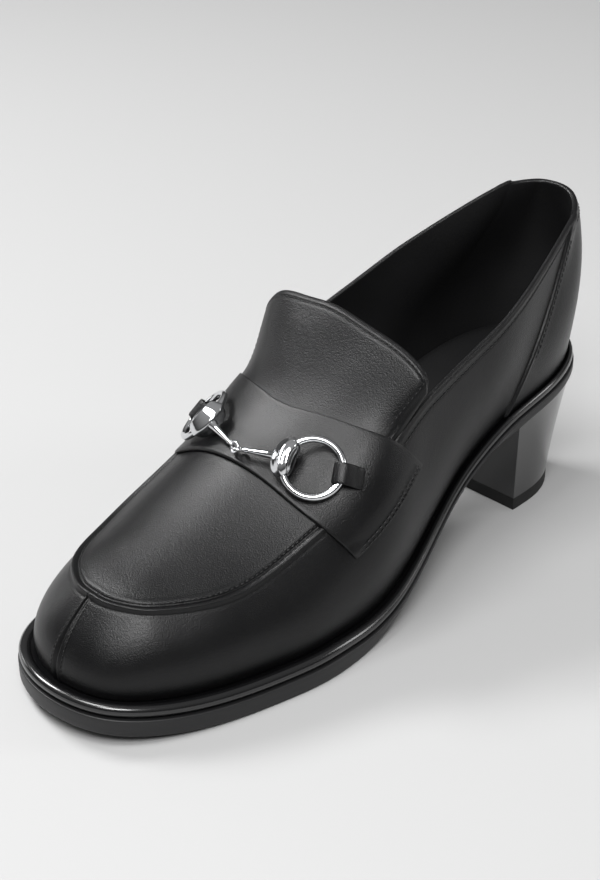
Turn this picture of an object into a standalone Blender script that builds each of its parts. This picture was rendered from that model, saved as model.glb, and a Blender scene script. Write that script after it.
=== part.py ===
"""Bit loafer, left shoe, modelled in millimetres on a last made from named sizes.

The shoe's own frame: x runs across the foot, plus is the outer (lateral) side. s runs along it,
from 0 at the toe tip to LENGTH at the heel back. z is up from the floor. The shoe stands on its
heel tip and on the flat spot of its forepart. The toe points to -Y.
"""
import bmesh
import bpy
import numpy as np
from mathutils import Matrix, Vector

MM = 0.001
GAP = 0.3                  # clearance between pieces that touch

# Sole: lengths along it and heights
LENGTH = 243.0             # outsole, toe tip to heel back
BALL_WIDTH = 89.8          # outsole across the ball
TOE_SPRING = 5.4           # lift of the outsole's toe
FLAT_START = 62.0          # where the forepart touches the floor
FLAT_LENGTH = 32.0
SEAT_LENGTH = 51.0         # heel breast to heel back
BREAST_HEIGHT = 41.0       # floor to outsole at the breast
SEAT_RISE = 6.0            # further rise of the seat to the heel back
OUTSOLE_FORE = 6.2
OUTSOLE_REAR = 3.4
OUTSOLE_EDGE = 0.7         # bevel of its edges
OUTSOLE_UNDERCUT = 1.5     # how far its side leans in underneath, from the waist back
WELT_FORE = 4.2            # height of the rounded welt
WELT_REAR = 3.4
WELT_INSET = 0.4           # welt behind the outsole's edge
WELT_LIP = 1.2             # how far the bead stands above the bed of the upper
INSOLE = 2.0

# Heel: the top lift's plan
TIP_FRONT = 7.5            # how far the tip's front lies behind the breast
TIP_LENGTH = 34.0
TIP_NARROWING = 0.72       # tip's width as a share of the seat's
TIP_OFF = 0.75             # tip's middle towards the lateral side
TIP_HEIGHT = 5.0
TIP_EDGE = 0.5             # bevel round its underside
HEEL_INSET = 0.8           # heel block inside the outsole's edge
HEEL_HOLLOW = 0.35         # share by which the block's sides curve in
HEEL_RINGS = 7             # rows of points down the block

# Upper: heights over the sole's bed, and thicknesses
UPPER_HEIGHT = 62.0        # seam, topline and back are shares of it
INSTEP_HEIGHT = 76.0       # the crest over the instep is a share of it
WALL = 1.8
BEAD_HEIGHT = 1.2          # rolled seam round the plug
BEAD_FADE = 0.340, 0.366   # it runs out under the strap between these shares of LENGTH
TOE_SEAM_HEIGHT = 0.7      # the two ridges of the toe seam
BACK_PANEL_STEP = 0.8      # the back panel lies on the quarters
BACK_PANEL_SKIVED = 0.25   # share of that step left at the topline
TONGUE_WALL = 1.8
STRAP_WALL = 1.6
STRAP_SKIVED = 0.6         # strap's wall at its sewn ends

# A row for each section, from toe to heel. "at" and the other places are shares of LENGTH, widths
# are shares of BALL_WIDTH, "edge_up" of UPPER_HEIGHT, "ledge" is the welt's show in mm, "tilt" the
# wall's lean at its edge in degrees. The edge is the plug's seam, and behind it the topline.
COLUMNS = ("at", "half", "ledge", "edge_at", "edge_half", "edge_up", "lean", "tilt", "crest_at")
TOE = (0.000, 0.000, 6.2, 0.091, 0.000, 0.450, 0.030, 52, 0.155)
LATERAL = (
    (0.015, 0.188, 6.2, 0.094, 0.082, 0.450, 0.030, 52, 0.158),
    (0.035, 0.266, 6.2, 0.102, 0.130, 0.450, 0.030, 50, 0.164),
    (0.070, 0.340, 6.1, 0.119, 0.191, 0.448, 0.032, 48, 0.176),
    (0.120, 0.405, 6.0, 0.150, 0.246, 0.446, 0.035, 45, 0.197),
    (0.180, 0.454, 5.9, 0.195, 0.303, 0.448, 0.040, 42, 0.228),
    (0.250, 0.492, 5.8, 0.255, 0.338, 0.471, 0.044, 38, 0.274),
    (0.320, 0.517, 5.6, 0.321, 0.352, 0.545, 0.050, 36, 0.326),
    (0.390, 0.509, 5.4, 0.391, 0.375, 0.668, 0.056, 34, 0.376),
    (0.470, 0.483, 4.9, 0.468, 0.401, 0.827, 0.062, 24, 0.440),
    (0.560, 0.415, 4.3, 0.564, 0.366, 0.860, 0.070, 10, 0.582),
    (0.660, 0.342, 3.9, 0.700, 0.330, 0.721, 0.070, 6, 0.700),
    (0.715, 0.328, 3.8, 0.800, 0.301, 0.734, 0.062, 6, 0.800),
    (0.765, 0.320, 3.7, 0.925, 0.205, 0.846, 0.052, 8, 0.925),
    (0.815, 0.313, 3.6, 0.949, 0.178, 0.866, 0.047, 9, 0.949),
    (0.872, 0.298, 3.6, 0.961, 0.154, 0.873, 0.042, 10, 0.961),
    (0.938, 0.235, 3.6, 0.976, 0.118, 0.888, 0.036, 12, 0.976),
    (0.984, 0.125, 3.6, 0.989, 0.066, 0.907, 0.034, 13, 0.989),
)
MEDIAL = (
    (0.015, 0.188, 6.2, 0.094, 0.075, 0.450, 0.030, 52, 0.158),
    (0.035, 0.276, 6.2, 0.102, 0.122, 0.450, 0.030, 50, 0.164),
    (0.070, 0.359, 6.1, 0.119, 0.190, 0.448, 0.032, 48, 0.176),
    (0.120, 0.422, 6.0, 0.150, 0.260, 0.446, 0.035, 45, 0.197),
    (0.180, 0.462, 5.9, 0.195, 0.318, 0.448, 0.040, 42, 0.228),
    (0.250, 0.482, 5.8, 0.255, 0.372, 0.471, 0.046, 36, 0.274),
    (0.320, 0.483, 5.6, 0.321, 0.392, 0.545, 0.056, 34, 0.326),
    (0.390, 0.439, 5.4, 0.391, 0.400, 0.655, 0.075, 32, 0.376),
    (0.470, 0.353, 4.9, 0.468, 0.405, 0.812, 0.110, 22, 0.440),
    (0.560, 0.280, 4.3, 0.564, 0.396, 0.860, 0.130, 10, 0.582),
    (0.660, 0.254, 3.9, 0.700, 0.344, 0.773, 0.120, 5, 0.700),
    (0.715, 0.276, 3.8, 0.800, 0.290, 0.794, 0.095, 5, 0.800),
    (0.765, 0.304, 3.7, 0.925, 0.179, 0.916, 0.072, 8, 0.925),
    (0.815, 0.306, 3.6, 0.949, 0.155, 0.927, 0.060, 9, 0.949),
    (0.872, 0.292, 3.6, 0.961, 0.135, 0.923, 0.048, 10, 0.961),
    (0.938, 0.232, 3.6, 0.976, 0.102, 0.925, 0.036, 12, 0.976),
    (0.984, 0.112, 3.6, 0.989, 0.056, 0.922, 0.034, 13, 0.989),
)
HEEL = (1.000, 0.012, 3.6, 0.992, 0.010, 0.920, 0.034, 13, 0.992)

# The crest of plug and instep: place as a share of LENGTH, x of BALL_WIDTH, height of INSTEP_HEIGHT
CREST_COLUMNS = ("at", "off", "up")
CREST = (
    (0.155, 0.000, 0.437),
    (0.200, -0.002, 0.480),
    (0.250, -0.006, 0.530),
    (0.310, -0.014, 0.600),
    (0.360, -0.020, 0.670),
    (0.430, -0.034, 0.788),
    (0.500, -0.060, 0.930),
    (0.547, -0.075, 1.025),
    (0.600, -0.080, 1.110),
    (0.700, -0.040, 1.200),
    (1.000, 0.010, 1.200),
)


# The tongue's top edge, in one plane across the shoe: x as a share of TONGUE_HALF, z as a share
# of the rise from its corners to its top, from the lateral corner to the medial one
TONGUE_AT = 133.0
TONGUE_HALF = 37.5
TONGUE_CORNER = 80.4
TONGUE_TOP = 97.8
TONGUE_SIDE = 1.0          # its side edges stand this far above the topline
TONGUE_ARCH_COLUMNS = ("across", "up")
TONGUE_ARCH = (
    (0.985, 0.00),
    (0.975, 0.27),
    (0.790, 0.60),
    (0.300, 0.86),
    (-0.200, 1.00),
    (-0.500, 0.94),
    (-0.860, 0.77),
    (-1.010, 0.32),
    (-1.025, 0.00),
)
TONGUE_COLUMNS = 0.0, 0.12, 0.27, 0.44, 0.62, 0.81, 1.0
TONGUE_BASE_ROWS = 0.0, 0.5, 1.0
TONGUE_RISE_ROWS = 7

# The strap's front and rear edges: loop parameters at heights of the skin, where 0 is the
# topline, 1 the crest and -1 the feather line. Its ends are skived where they are sewn down.
STRAP_COLUMNS = ("up", "front", "rear")
STRAP_LATERAL = (
    (-0.37, 0.425, 0.560),
    (0.00, 0.401, 0.519),
    (0.25, 0.391, 0.499),
    (0.50, 0.387, 0.492),
    (1.00, 0.386, 0.491),
)
STRAP_MEDIAL = (
    (-0.37, 0.420, 0.505),
    (0.00, 0.396, 0.512),
    (0.25, 0.388, 0.499),
    (0.50, 0.386, 0.492),
    (1.00, 0.386, 0.491),
)
STRAP_END_COLUMNS = ("front", "rear")
STRAP_END_LATERAL = -0.37, -0.30
STRAP_END_MEDIAL = -0.37, -0.23
STRAP_REAR_WALL = 0.7      # share of its wall left at the rear edge, over the tongue
STRAP_DOWN = 0.0, 0.25, 0.5, 0.75
STRAP_OVER = 0.0, 0.08, 0.2, 0.35, 0.52, 0.69, 0.85, 1.0
STRAP_BACK = 0.0, 0.06, 0.22, 0.4, 0.58, 0.76, 0.9, 1.0

# The bit: rings, barrels on them, bars and the eyes that link them
RING_RADIUS = 9.65         # to the wire's middle
WIRE = 1.2
BARREL_HALF_TURN = 38.0    # degrees of the ring that the barrel covers each way
BARREL_HOLE = WIRE + GAP
BARREL_COLUMNS = ("along", "radius")
BARREL = (
    (-1.00, 2.2),
    (-0.90, 2.9),
    (-0.55, 3.6),
    (0.00, 3.9),
    (0.55, 3.6),
    (0.90, 2.9),
    (1.00, 2.2),
)
BAR_START = 2.6            # the bar starts inside the barrel's wall
BAR_COLUMNS = ("along", "radius")
BAR = (
    (0.00, 1.35),
    (0.20, 1.25),
    (0.80, 0.75),
    (1.00, 0.65),
)
EYE_RADIUS = 1.75
EYE_WIRE = 0.5
LINK_AT = 0.358            # share of LENGTH, on the crest
LINK_LIFT = 4.7            # over the skin
ROUND_SIDES = 8

# Where the bit and its keepers lie: loop parameter and height on the skin, lift above it in mm
PLACE_COLUMNS = ("at", "up", "lift")
BIT_LATERAL = {"ring": (0.434, 0.365, 4.9), "barrel": (0.423, 0.530, 6.1), "wire": (0.451, 0.178, 0.0), "slit": (0.4605, 0.077, 0.0)}
BIT_MEDIAL = {"ring": (1.567, 0.330, 4.8), "barrel": (1.580, 0.518, 6.3), "wire": (1.553, 0.099, 0.0), "slit": (1.546, 0.005, 0.0)}
KEEPER_WIDTH = 7.0
KEEPER_WALL = 0.9
KEEPER_ROOM = 0.65         # between wire and keeper
KEEPER_FOOT = 5.5          # how far it runs on beyond the wire, to its slit


def smoothstep(low, high, value):
    share = np.clip((np.asarray(value, float) - low) / (high - low), 0.0, 1.0)
    return share * share * (3.0 - 2.0 * share)


def natural_spline(knots, values):
    """Cubic spline through rows of values, with free ends, as a function of the knots' parameter."""
    knots = np.asarray(knots, float)
    values = np.asarray(values, float).reshape(len(knots), -1)
    step = np.diff(knots)
    slope = np.diff(values, axis=0) / step[:, None]
    count = len(knots)
    matrix = np.eye(count)
    right = np.zeros_like(values)
    for i in range(1, count - 1):
        matrix[i, i - 1:i + 2] = step[i - 1], 2 * (step[i - 1] + step[i]), step[i]
        right[i] = 6 * (slope[i] - slope[i - 1])
    bend = np.linalg.solve(matrix, right)
    return lambda at: spline_value(knots, values, bend, at)


def loop_spline(knots, values, period):
    """Closed cubic spline through rows of values: the last row joins the first after the period."""
    knots = np.append(knots, knots[0] + period)
    values = np.vstack([values, values[:1]])
    step = np.diff(knots)
    slope = np.diff(values, axis=0) / step[:, None]
    count = len(step)
    matrix = np.zeros((count, count))
    right = np.zeros((count, values.shape[1]))
    for i in range(count):
        before = step[i - 1]
        matrix[i, i - 1] += before
        matrix[i, i] += 2 * (before + step[i])
        matrix[i, (i + 1) % count] += step[i]
        right[i] = 6 * (slope[i] - slope[i - 1])
    bend = np.linalg.solve(matrix, right)
    bend = np.vstack([bend, bend[:1]])
    return lambda at: spline_value(knots, values, bend, np.mod(np.asarray(at, float), period))


def spline_value(knots, values, bend, at):
    at = np.atleast_1d(np.asarray(at, float))
    left = np.clip(np.searchsorted(knots, at, side="right") - 1, 0, len(knots) - 2)
    step = (knots[left + 1] - knots[left])[:, None]
    b = (at[:, None] - knots[left][:, None]) / step
    a = 1 - b
    curve = ((a ** 3 - a) * bend[left] + (b ** 3 - b) * bend[left + 1]) * step ** 2 / 6
    return a * values[left] + b * values[left + 1] + curve


def make_loop():
    """The sections as one closed loop: q runs 0 to 1 down the lateral side, 2 to 1 down the medial."""
    lateral = np.array((TOE,) + LATERAL + (HEEL,), float)
    medial = np.array((TOE,) + MEDIAL + (HEEL,), float)
    plan = np.stack([lateral[:, 0] * LENGTH, lateral[:, 1] * BALL_WIDTH], 1)
    other = np.stack([medial[:, 0] * LENGTH, medial[:, 1] * BALL_WIDTH], 1)
    chord = np.linalg.norm(np.diff(plan, axis=0), axis=1) + np.linalg.norm(np.diff(other, axis=0), axis=1)
    knots = np.concatenate([[0.0], np.cumsum(chord)]) / chord.sum()
    medial[1:-1, [1, 4]] *= -1
    loop = np.vstack([lateral, medial[-2:0:-1]])
    return loop_spline(np.concatenate([knots, 2 - knots[-2:0:-1]]), loop, 2.0), chord.sum() / 2


SECTION, SIDE_RUN = make_loop()
CREST_LINE = natural_spline([row[0] for row in CREST], [row[1:] for row in CREST])


def section(q):
    """Named values of the sections at loop parameters q."""
    return dict(zip(COLUMNS, SECTION(q).T))


def bottom(s):
    """Underside of the outsole over the floor: toe spring, flat spot, waist and seat."""
    s = np.asarray(s, float)
    flat_end = FLAT_START + FLAT_LENGTH
    breast = LENGTH - SEAT_LENGTH
    toe = TOE_SPRING * np.clip(1 - s / FLAT_START, 0, None) ** 2
    t = np.clip((s - flat_end) / (breast - flat_end), 0, 1)
    waist = BREAST_HEIGHT * t * t * (2.5 - 1.5 * t)
    slope = 0.5 * BREAST_HEIGHT / (breast - flat_end) * SEAT_LENGTH
    u = np.clip((s - breast) / SEAT_LENGTH, 0, None)
    seat = slope * u + (SEAT_RISE - slope) * u * u
    return toe + waist + seat


def towards_rear(s):
    """0 on the forepart and 1 from the waist back, for the soles that grow thinner."""
    flat_end = FLAT_START + FLAT_LENGTH
    return smoothstep(flat_end - 12, flat_end + 0.62 * (LENGTH - SEAT_LENGTH - flat_end), s)


def outsole_wall(s):
    return OUTSOLE_FORE + (OUTSOLE_REAR - OUTSOLE_FORE) * towards_rear(s)


def welt_height(s):
    return WELT_FORE + (WELT_REAR - WELT_FORE) * towards_rear(s)


def welt_floor(s):
    return bottom(s) + outsole_wall(s) + GAP


def bed(s):
    """Top of the welt under the upper and the insole."""
    return welt_floor(s) + welt_height(s) - WELT_LIP


def outline(q, inset):
    """The outsole's plan outline at loop parameters q, moved in by the inset: arrays x, s."""
    q = np.asarray(q, float)
    here = section(q)
    nudge = 1e-4
    after, before = section(q + nudge), section(q - nudge)
    dx = (after["half"] - before["half"]) * BALL_WIDTH
    ds = (after["at"] - before["at"]) * LENGTH
    size = np.hypot(dx, ds)
    x = here["half"] * BALL_WIDTH - inset * ds / size
    s = here["at"] * LENGTH + inset * dx / size
    return x, s, np.stack([ds / size, -dx / size], 1)


def crest(share):
    """Crest point and its slope at a share of LENGTH."""
    share = np.atleast_1d(np.asarray(share, float))
    off, up = CREST_LINE(share).T
    s = share * LENGTH
    return np.stack([off * BALL_WIDTH, s, bed(s) + up * INSTEP_HEIGHT], 1)


def wall_handles(q):
    """Cubic curve from the feather line up to the edge for each q: four control points each."""
    here = section(q)
    x, s, out = outline(q, here["ledge"])
    foot = np.stack([x, s, bed(s) + GAP], 1)
    edge_s = here["edge_at"] * LENGTH
    edge = np.stack([here["edge_half"] * BALL_WIDTH, edge_s, bed(edge_s) + here["edge_up"] * UPPER_HEIGHT], 1)
    rise = edge[:, 2] - foot[:, 2]
    outward = np.column_stack([out, np.zeros(len(out))])
    along = edge - foot
    along[:, 2] = 0
    along -= outward * np.sum(along * outward, 1)[:, None]
    tilt = np.radians(here["tilt"])
    up = np.array([0.0, 0.0, 1.0])
    low = foot + outward * (here["lean"] * BALL_WIDTH)[:, None] + up * (0.42 * rise)[:, None]
    low += 0.30 * along
    high = edge - along * 0.36
    high += (outward * np.sin(tilt)[:, None] - up * np.cos(tilt)[:, None]) * (0.42 * rise)[:, None]
    return np.stack([foot, low, high, edge], 1)


def plug_handles(q):
    """Cubic curve from the edge up to the crest for each q, level across the crest."""
    here = section(q)
    edge = wall_handles(q)[:, 3]
    top = crest(here["crest_at"])
    nudge = 1e-3
    slope = (crest(here["crest_at"] + nudge) - crest(here["crest_at"] - nudge))
    slope = slope[:, 2] / slope[:, 1]
    across = top - edge
    reach = np.linalg.norm(across[:, :2], axis=1)
    inward = np.column_stack([across[:, :2] / reach[:, None], np.zeros(len(reach))])
    tilt = np.radians(here["tilt"] + 16)
    up = np.array([0.0, 0.0, 1.0])
    low = edge + (inward * np.sin(tilt)[:, None] + up * np.cos(tilt)[:, None]) * (0.36 * reach)[:, None]
    high = top - inward * (0.45 * reach)[:, None]
    high[:, 2] = top[:, 2] + slope * (high[:, 1] - top[:, 1])
    return np.stack([edge, low, high, top], 1)


def on_curves(handles, shares):
    """Points at shares of each curve's length: handles (n, 4, 3), shares (n, m) give (n, m, 3)."""
    t = np.linspace(0, 1, 41)
    weight = np.stack([(1 - t) ** 3, 3 * t * (1 - t) ** 2, 3 * t * t * (1 - t), t ** 3])
    curve = np.einsum("kt,nkd->ntd", weight, handles)
    run = np.linalg.norm(np.diff(curve, axis=1), axis=2)
    run = np.concatenate([np.zeros((len(run), 1)), np.cumsum(run, axis=1)], axis=1)
    points = np.empty(shares.shape + (3,))
    for i, share in enumerate(shares):
        for axis in range(3):
            points[i, :, axis] = np.interp(share * run[i, -1], run[i], curve[i, :, axis])
    return points, run[:, -1]


# Stations of the mesh: how many columns and rows, and where the seams stand
SIDE_COLUMNS = 36          # columns from toe to heel on each side
TOE_SEAM_RIDGE = 1.5       # ridge beside the toe seam, from the middle
TOE_SEAM_FOOT = 3.6        # where the ridge has run out
BACK_SEAM_AT = 0.765       # the back panel's seam stands on the sole at this share of LENGTH
BACK_SEAM_STEP = 1.0
THROAT_AT = 0.425          # the plug ends where its crest comes to this share of LENGTH
WALL_ROWS = 0.0, 0.05, 0.14, 0.26, 0.39, 0.53, 0.67, 0.80, 0.90
PLUG_ROWS = 0.14, 0.30, 0.48, 0.66, 0.83, 1.0
BEAD_ROWS = ("from_edge", "height")
BEAD = (
    (-2.6, 0.00),
    (-1.7, 0.70),
    (-0.8, 1.00),
    (0.0, 0.55),
    (0.7, 0.00),
)


def q_where(column, value, high=1.0):
    """Loop parameter on the lateral side where a column of the sections reaches the value."""
    q = np.linspace(0, high, 801)
    return float(np.interp(value, section(q)[column], q))


def side_stations():
    """Loop parameters from toe to heel for one side, with the seams' own columns among them."""
    q = np.linspace(0, 1, SIDE_COLUMNS + 1)
    q = q + 0.035 * np.sin(2 * np.pi * q)
    breast = (LENGTH - SEAT_LENGTH) / LENGTH
    for column, value in (("crest_at", THROAT_AT), ("at", BACK_SEAM_AT), ("at", breast)):
        place = q_where(column, value)
        q[np.argmin(abs(q - place))] = place
    seam = q_where("at", BACK_SEAM_AT)
    extra = [TOE_SEAM_RIDGE / SIDE_RUN, TOE_SEAM_FOOT / SIDE_RUN, seam + BACK_SEAM_STEP / SIDE_RUN]
    keep = [value for value in q if value == 0 or value > 2.0 * TOE_SEAM_FOOT / SIDE_RUN]
    return np.array(sorted(keep + extra))


def closed(side):
    """The side's parameters as the whole loop, out along the lateral side and back the medial."""
    return np.concatenate([side, 2 - side[-2:0:-1]])


def fold(q):
    """Share of the way from toe to heel, the same on both sides."""
    return np.minimum(q, 2 - q)


class Mesh:
    """Points and faces of one solid, in the shoe's frame and in millimetres."""

    def __init__(self):
        self.points = []
        self.faces = []

    def add(self, points):
        points = np.asarray(points, float)
        start = len(self.points)
        self.points.extend(points.reshape(-1, 3))
        return np.arange(start, start + points.size // 3).reshape(points.shape[:-1])

    def grid(self, index, wrap=False):
        """Faces between the rows and columns of an array of point numbers."""
        index = np.asarray(index)
        if wrap:
            index = np.vstack([index, index[:1]])
        for i in range(index.shape[0] - 1):
            for j in range(index.shape[1] - 1):
                face = [index[i, j], index[i + 1, j], index[i + 1, j + 1], index[i, j + 1]]
                self.face(face)

    def face(self, face):
        ring = [v for k, v in enumerate(face) if v != face[k - 1]]
        if len(set(ring)) > 2:
            self.faces.append([int(v) for v in ring])

    def normals(self, points):
        """Area-weighted normals of the faces so far, at each point."""
        total = np.zeros((len(points), 3))
        for face in self.faces:
            corner = points[face]
            area = np.zeros(3)
            for k in range(1, len(face) - 1):
                area += np.cross(corner[k] - corner[0], corner[k + 1] - corner[0])
            total[face] += area
        return total / np.linalg.norm(total, axis=1)[:, None]

    def thicken(self, relief, wall):
        """Turn an open sheet into a shell: relief is added outside, the wall's other skin inside."""
        base = np.array(self.points)
        normal = self.normals(base)
        relief = np.zeros(len(base)) + relief
        wall = np.zeros(len(base)) + wall
        count = len(base)
        self.points = list(base + normal * relief[:, None]) + list(base - normal * wall[:, None])
        outer = list(self.faces)
        used = {}
        for face in outer:
            for k, v in enumerate(face):
                used[(face[k - 1], v)] = True
        for a, b in list(used):
            if (b, a) not in used:
                self.faces.append([b, a, a + count, b + count])
        for face in outer:
            self.faces.append([v + count for v in reversed(face)])

    def make(self, name, material):
        """The finished object, in metres, with the toe to -Y and the shoe's middle at the origin."""
        data = bpy.data.meshes.new(name)
        points = np.array(self.points) * MM
        points[:, 1] -= 0.5 * LENGTH * MM
        data.from_pydata(points.tolist(), [], self.faces)
        work = bmesh.new()
        work.from_mesh(data)
        bmesh.ops.recalc_face_normals(work, faces=work.faces)
        work.to_mesh(data)
        work.free()
        data.shade_smooth()
        data.set_sharp_from_angle(angle=np.radians(38))
        data.materials.append(material)
        piece = bpy.data.objects.new(name, data)
        bpy.context.scene.collection.objects.link(piece)
        return piece


def stack(loops, front=True):
    """Solid through closed loops of points, with a ladder of faces over the first and the last.

    Each loop runs down one side and back up the other. With front it starts at the toe's point,
    without front it is open there and the first and last points make a flat front.
    """
    mesh = Mesh()
    index = mesh.add(np.array(loops))
    mesh.grid(index.T, wrap=True)
    count = index.shape[1]
    for loop, turn in ((index[0], False), (index[-1], True)):
        for j in range((count + 1) // 2 - (0 if front else 1)):
            other = (count - j) if front else (count - 1 - j)
            face = [loop[j], loop[(j + 1) % count], loop[(other - 1) % count], loop[other % count]]
            mesh.face(face[::-1] if turn else face)
    return mesh


def ring_at(q, inset, height):
    """Loop of points along the outline, moved in by the inset, at a height worked out from s."""
    x, s, out = outline(q, inset)
    return np.stack([x, s, height(s)], 1)


def undercut(s):
    """How far the outsole's underside lies in from its edge: only along the waist."""
    flat_end = FLAT_START + FLAT_LENGTH
    breast = LENGTH - SEAT_LENGTH
    return OUTSOLE_UNDERCUT * smoothstep(flat_end - 10, flat_end + 25, s) * (1 - smoothstep(breast - 16, breast, s))


def make_outsole(side, material):
    """Plate with the true outline, toe spring, flat tread, waist and seat."""
    q = closed(side)
    under = undercut(section(q)["at"] * LENGTH)
    top = lambda s: bottom(s) + outsole_wall(s)
    loops = (
        ring_at(q, OUTSOLE_EDGE + under, bottom),
        ring_at(q, under, lambda s: bottom(s) + OUTSOLE_EDGE),
        ring_at(q, 0.0, lambda s: top(s) - OUTSOLE_EDGE),
        ring_at(q, 0.7 * OUTSOLE_EDGE, top),
    )
    return stack(loops).make("outsole", material)


def make_welt(side, material):
    """Plate on the outsole whose rim is a rounded bead round the whole shoe."""
    q = closed(side)
    here = section(q)
    s_here = here["at"] * LENGTH
    height = welt_height(s_here)
    half = 0.5 * np.minimum(height, here["ledge"] - WELT_INSET - BACK_PANEL_STEP - GAP)
    loops = []
    for degrees in (-90, -60, -30, 0, 30, 60, 90, 135):
        turn = np.radians(degrees)
        inset = WELT_INSET + half * (1 - np.cos(turn))
        share = 0.5 * (1 + np.sin(turn))
        loops.append(ring_at(q, inset, lambda s: welt_floor(s) + share * welt_height(s)))
    loops.append(ring_at(q, WELT_INSET + 1.9 * half, bed))
    return stack(loops).make("welt", material)


def heel_plan(side):
    """Seat's plan from breast to back and round to the breast again: x, s and its share of length."""
    breast = (LENGTH - SEAT_LENGTH) / LENGTH
    rear = side[side >= q_where("at", breast) - 1e-6]
    q = np.concatenate([rear, 2 - rear[-2::-1]])
    x, s, out = outline(q, HEEL_INSET)
    return x, s, (s - s[0]) / (s.max() - s[0])


def make_heel(side, material):
    """Block under the seat, narrowing in a hollow curve down to the tip."""
    x, s, along = heel_plan(side)
    front = LENGTH - SEAT_LENGTH + TIP_FRONT
    tip = np.stack([TIP_OFF + TIP_NARROWING * x, front + along * TIP_LENGTH, 0 * s + TIP_HEIGHT + GAP], 1)
    seat = np.stack([x, s, bottom(s) - GAP], 1)
    loops = []
    for share in np.linspace(0, 1, HEEL_RINGS):
        bent = share + HEEL_HOLLOW * share * (1 - share)
        loop = seat + (tip - seat) * bent
        loop[:, 2] = seat[:, 2] + (tip[:, 2] - seat[:, 2]) * share
        loops.append(loop)
    return stack(loops, front=False).make("heel", material)


def make_heel_tip(side, material):
    """Flat lift under the heel that stands on the floor."""
    x, s, along = heel_plan(side)
    front = LENGTH - SEAT_LENGTH + TIP_FRONT
    loops = []
    for inset, z in ((TIP_EDGE, 0.0), (0.0, TIP_EDGE), (0.0, TIP_HEIGHT)):
        wide = TIP_NARROWING * x
        wide = wide * (1 - inset / abs(wide).max())
        run = inset + along * (TIP_LENGTH - 2 * inset)
        loops.append(np.stack([TIP_OFF + wide, front + run, 0 * s + z], 1))
    return stack(loops, front=False).make("heel_tip", material)


def make_insole(side, material):
    """Plate on the welt's bed inside the upper's foot."""
    q = closed(side)
    inset = section(q)["ledge"] + WALL + 2 * GAP
    floor = lambda s: bed(s) + GAP
    loops = (
        ring_at(q, inset + 0.4, floor),
        ring_at(q, inset, lambda s: floor(s) + 0.4),
        ring_at(q, inset, lambda s: floor(s) + INSOLE - 0.4),
        ring_at(q, inset + 0.4, lambda s: floor(s) + INSOLE),
    )
    return stack(loops).make("insole", material)


def skin(q, up):
    """Points of the last's skin: up runs from -1 at the feather line by 0 at the edge to 1 at the crest."""
    q = np.atleast_1d(np.asarray(q, float))
    up = np.atleast_1d(np.asarray(up, float))
    wall = on_curves(wall_handles(q), np.clip(1 + up, 0, 1)[:, None])[0][:, 0]
    plug = on_curves(plug_handles(q), np.clip(up, 0, 1)[:, None])[0][:, 0]
    return np.where((up < 0)[:, None], wall, plug)


def make_upper(side, material):
    """Hollow upper: a wall from the feather line to the seam and topline, and the plug in front."""
    q = closed(side)
    here = section(q)
    bead = np.array(BEAD)
    low_bead = bead[bead[:, 0] < 0]
    high_bead = bead[bead[:, 0] > 0]
    throat = q_where("crest_at", THROAT_AT) + 1e-6
    lateral = [i for i in range(len(q)) if q[i] <= throat]
    medial = [i for i in range(len(q)) if q[i] >= 2 - throat]

    length = on_curves(wall_handles(q), np.zeros((len(q), 1)))[1]
    low = np.array(WALL_ROWS) * (1 + low_bead[0, 0] / length)[:, None]
    rows = np.column_stack([low, 1 + low_bead[:, 0] / length[:, None], np.ones(len(q))])
    wall = on_curves(wall_handles(q), rows)[0]
    front = np.array(medial + lateral)
    reach = on_curves(plug_handles(q[front]), np.zeros((len(front), 1)))[1]
    start = high_bead[-1, 0] / reach
    rows = np.column_stack([high_bead[:, 0] / reach[:, None], start[:, None] + np.array(PLUG_ROWS) * (1 - start)[:, None]])
    plug = on_curves(plug_handles(q[front]), rows)[0]

    mesh = Mesh()
    wall_index = mesh.add(wall)
    mesh.grid(wall_index, wrap=True)
    inner = mesh.add(plug[:, :-1])
    top = mesh.add(plug[len(medial):, -1])
    top = np.concatenate([top[:0:-1], top])
    mesh.grid(np.column_stack([wall_index[front, -1], inner, top]))

    relief = np.zeros(len(mesh.points))
    seam = BEAD_HEIGHT * (1 - smoothstep(*BEAD_FADE, here["edge_at"]))
    heights = np.concatenate([low_bead[:, 1], [bead[len(low_bead), 1]]])
    relief[wall_index[:, -len(heights):]] = seam[:, None] * heights
    relief[inner[:, :len(high_bead)]] = seam[front][:, None] * high_bead[:, 1]
    beside = abs(fold(q) - TOE_SEAM_RIDGE / SIDE_RUN) < 1e-6
    relief[wall_index[beside]] += TOE_SEAM_HEIGHT
    behind = fold(q) > q_where("at", BACK_SEAM_AT) + 1e-6
    relief[wall_index[behind]] += BACK_PANEL_STEP
    relief[wall_index[behind][:, -1]] -= BACK_PANEL_STEP * (1 - BACK_PANEL_SKIVED)
    mesh.thicken(relief, WALL)
    return mesh.make("upper", material)


def tongue_arch(shares):
    """Points of the tongue's top edge, from its lateral corner over the top to the medial one."""
    rows = np.array(TONGUE_ARCH)
    x = rows[:, 0] * TONGUE_HALF
    z = TONGUE_CORNER + rows[:, 1] * (TONGUE_TOP - TONGUE_CORNER)
    run = np.concatenate([[0.0], np.cumsum(np.hypot(np.diff(x), np.diff(z)))])
    points = natural_spline(run / run[-1], np.stack([x, z], 1))(shares)
    return np.stack([points[:, 0], np.full(len(points), TONGUE_AT), points[:, 1]], 1)


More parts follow.
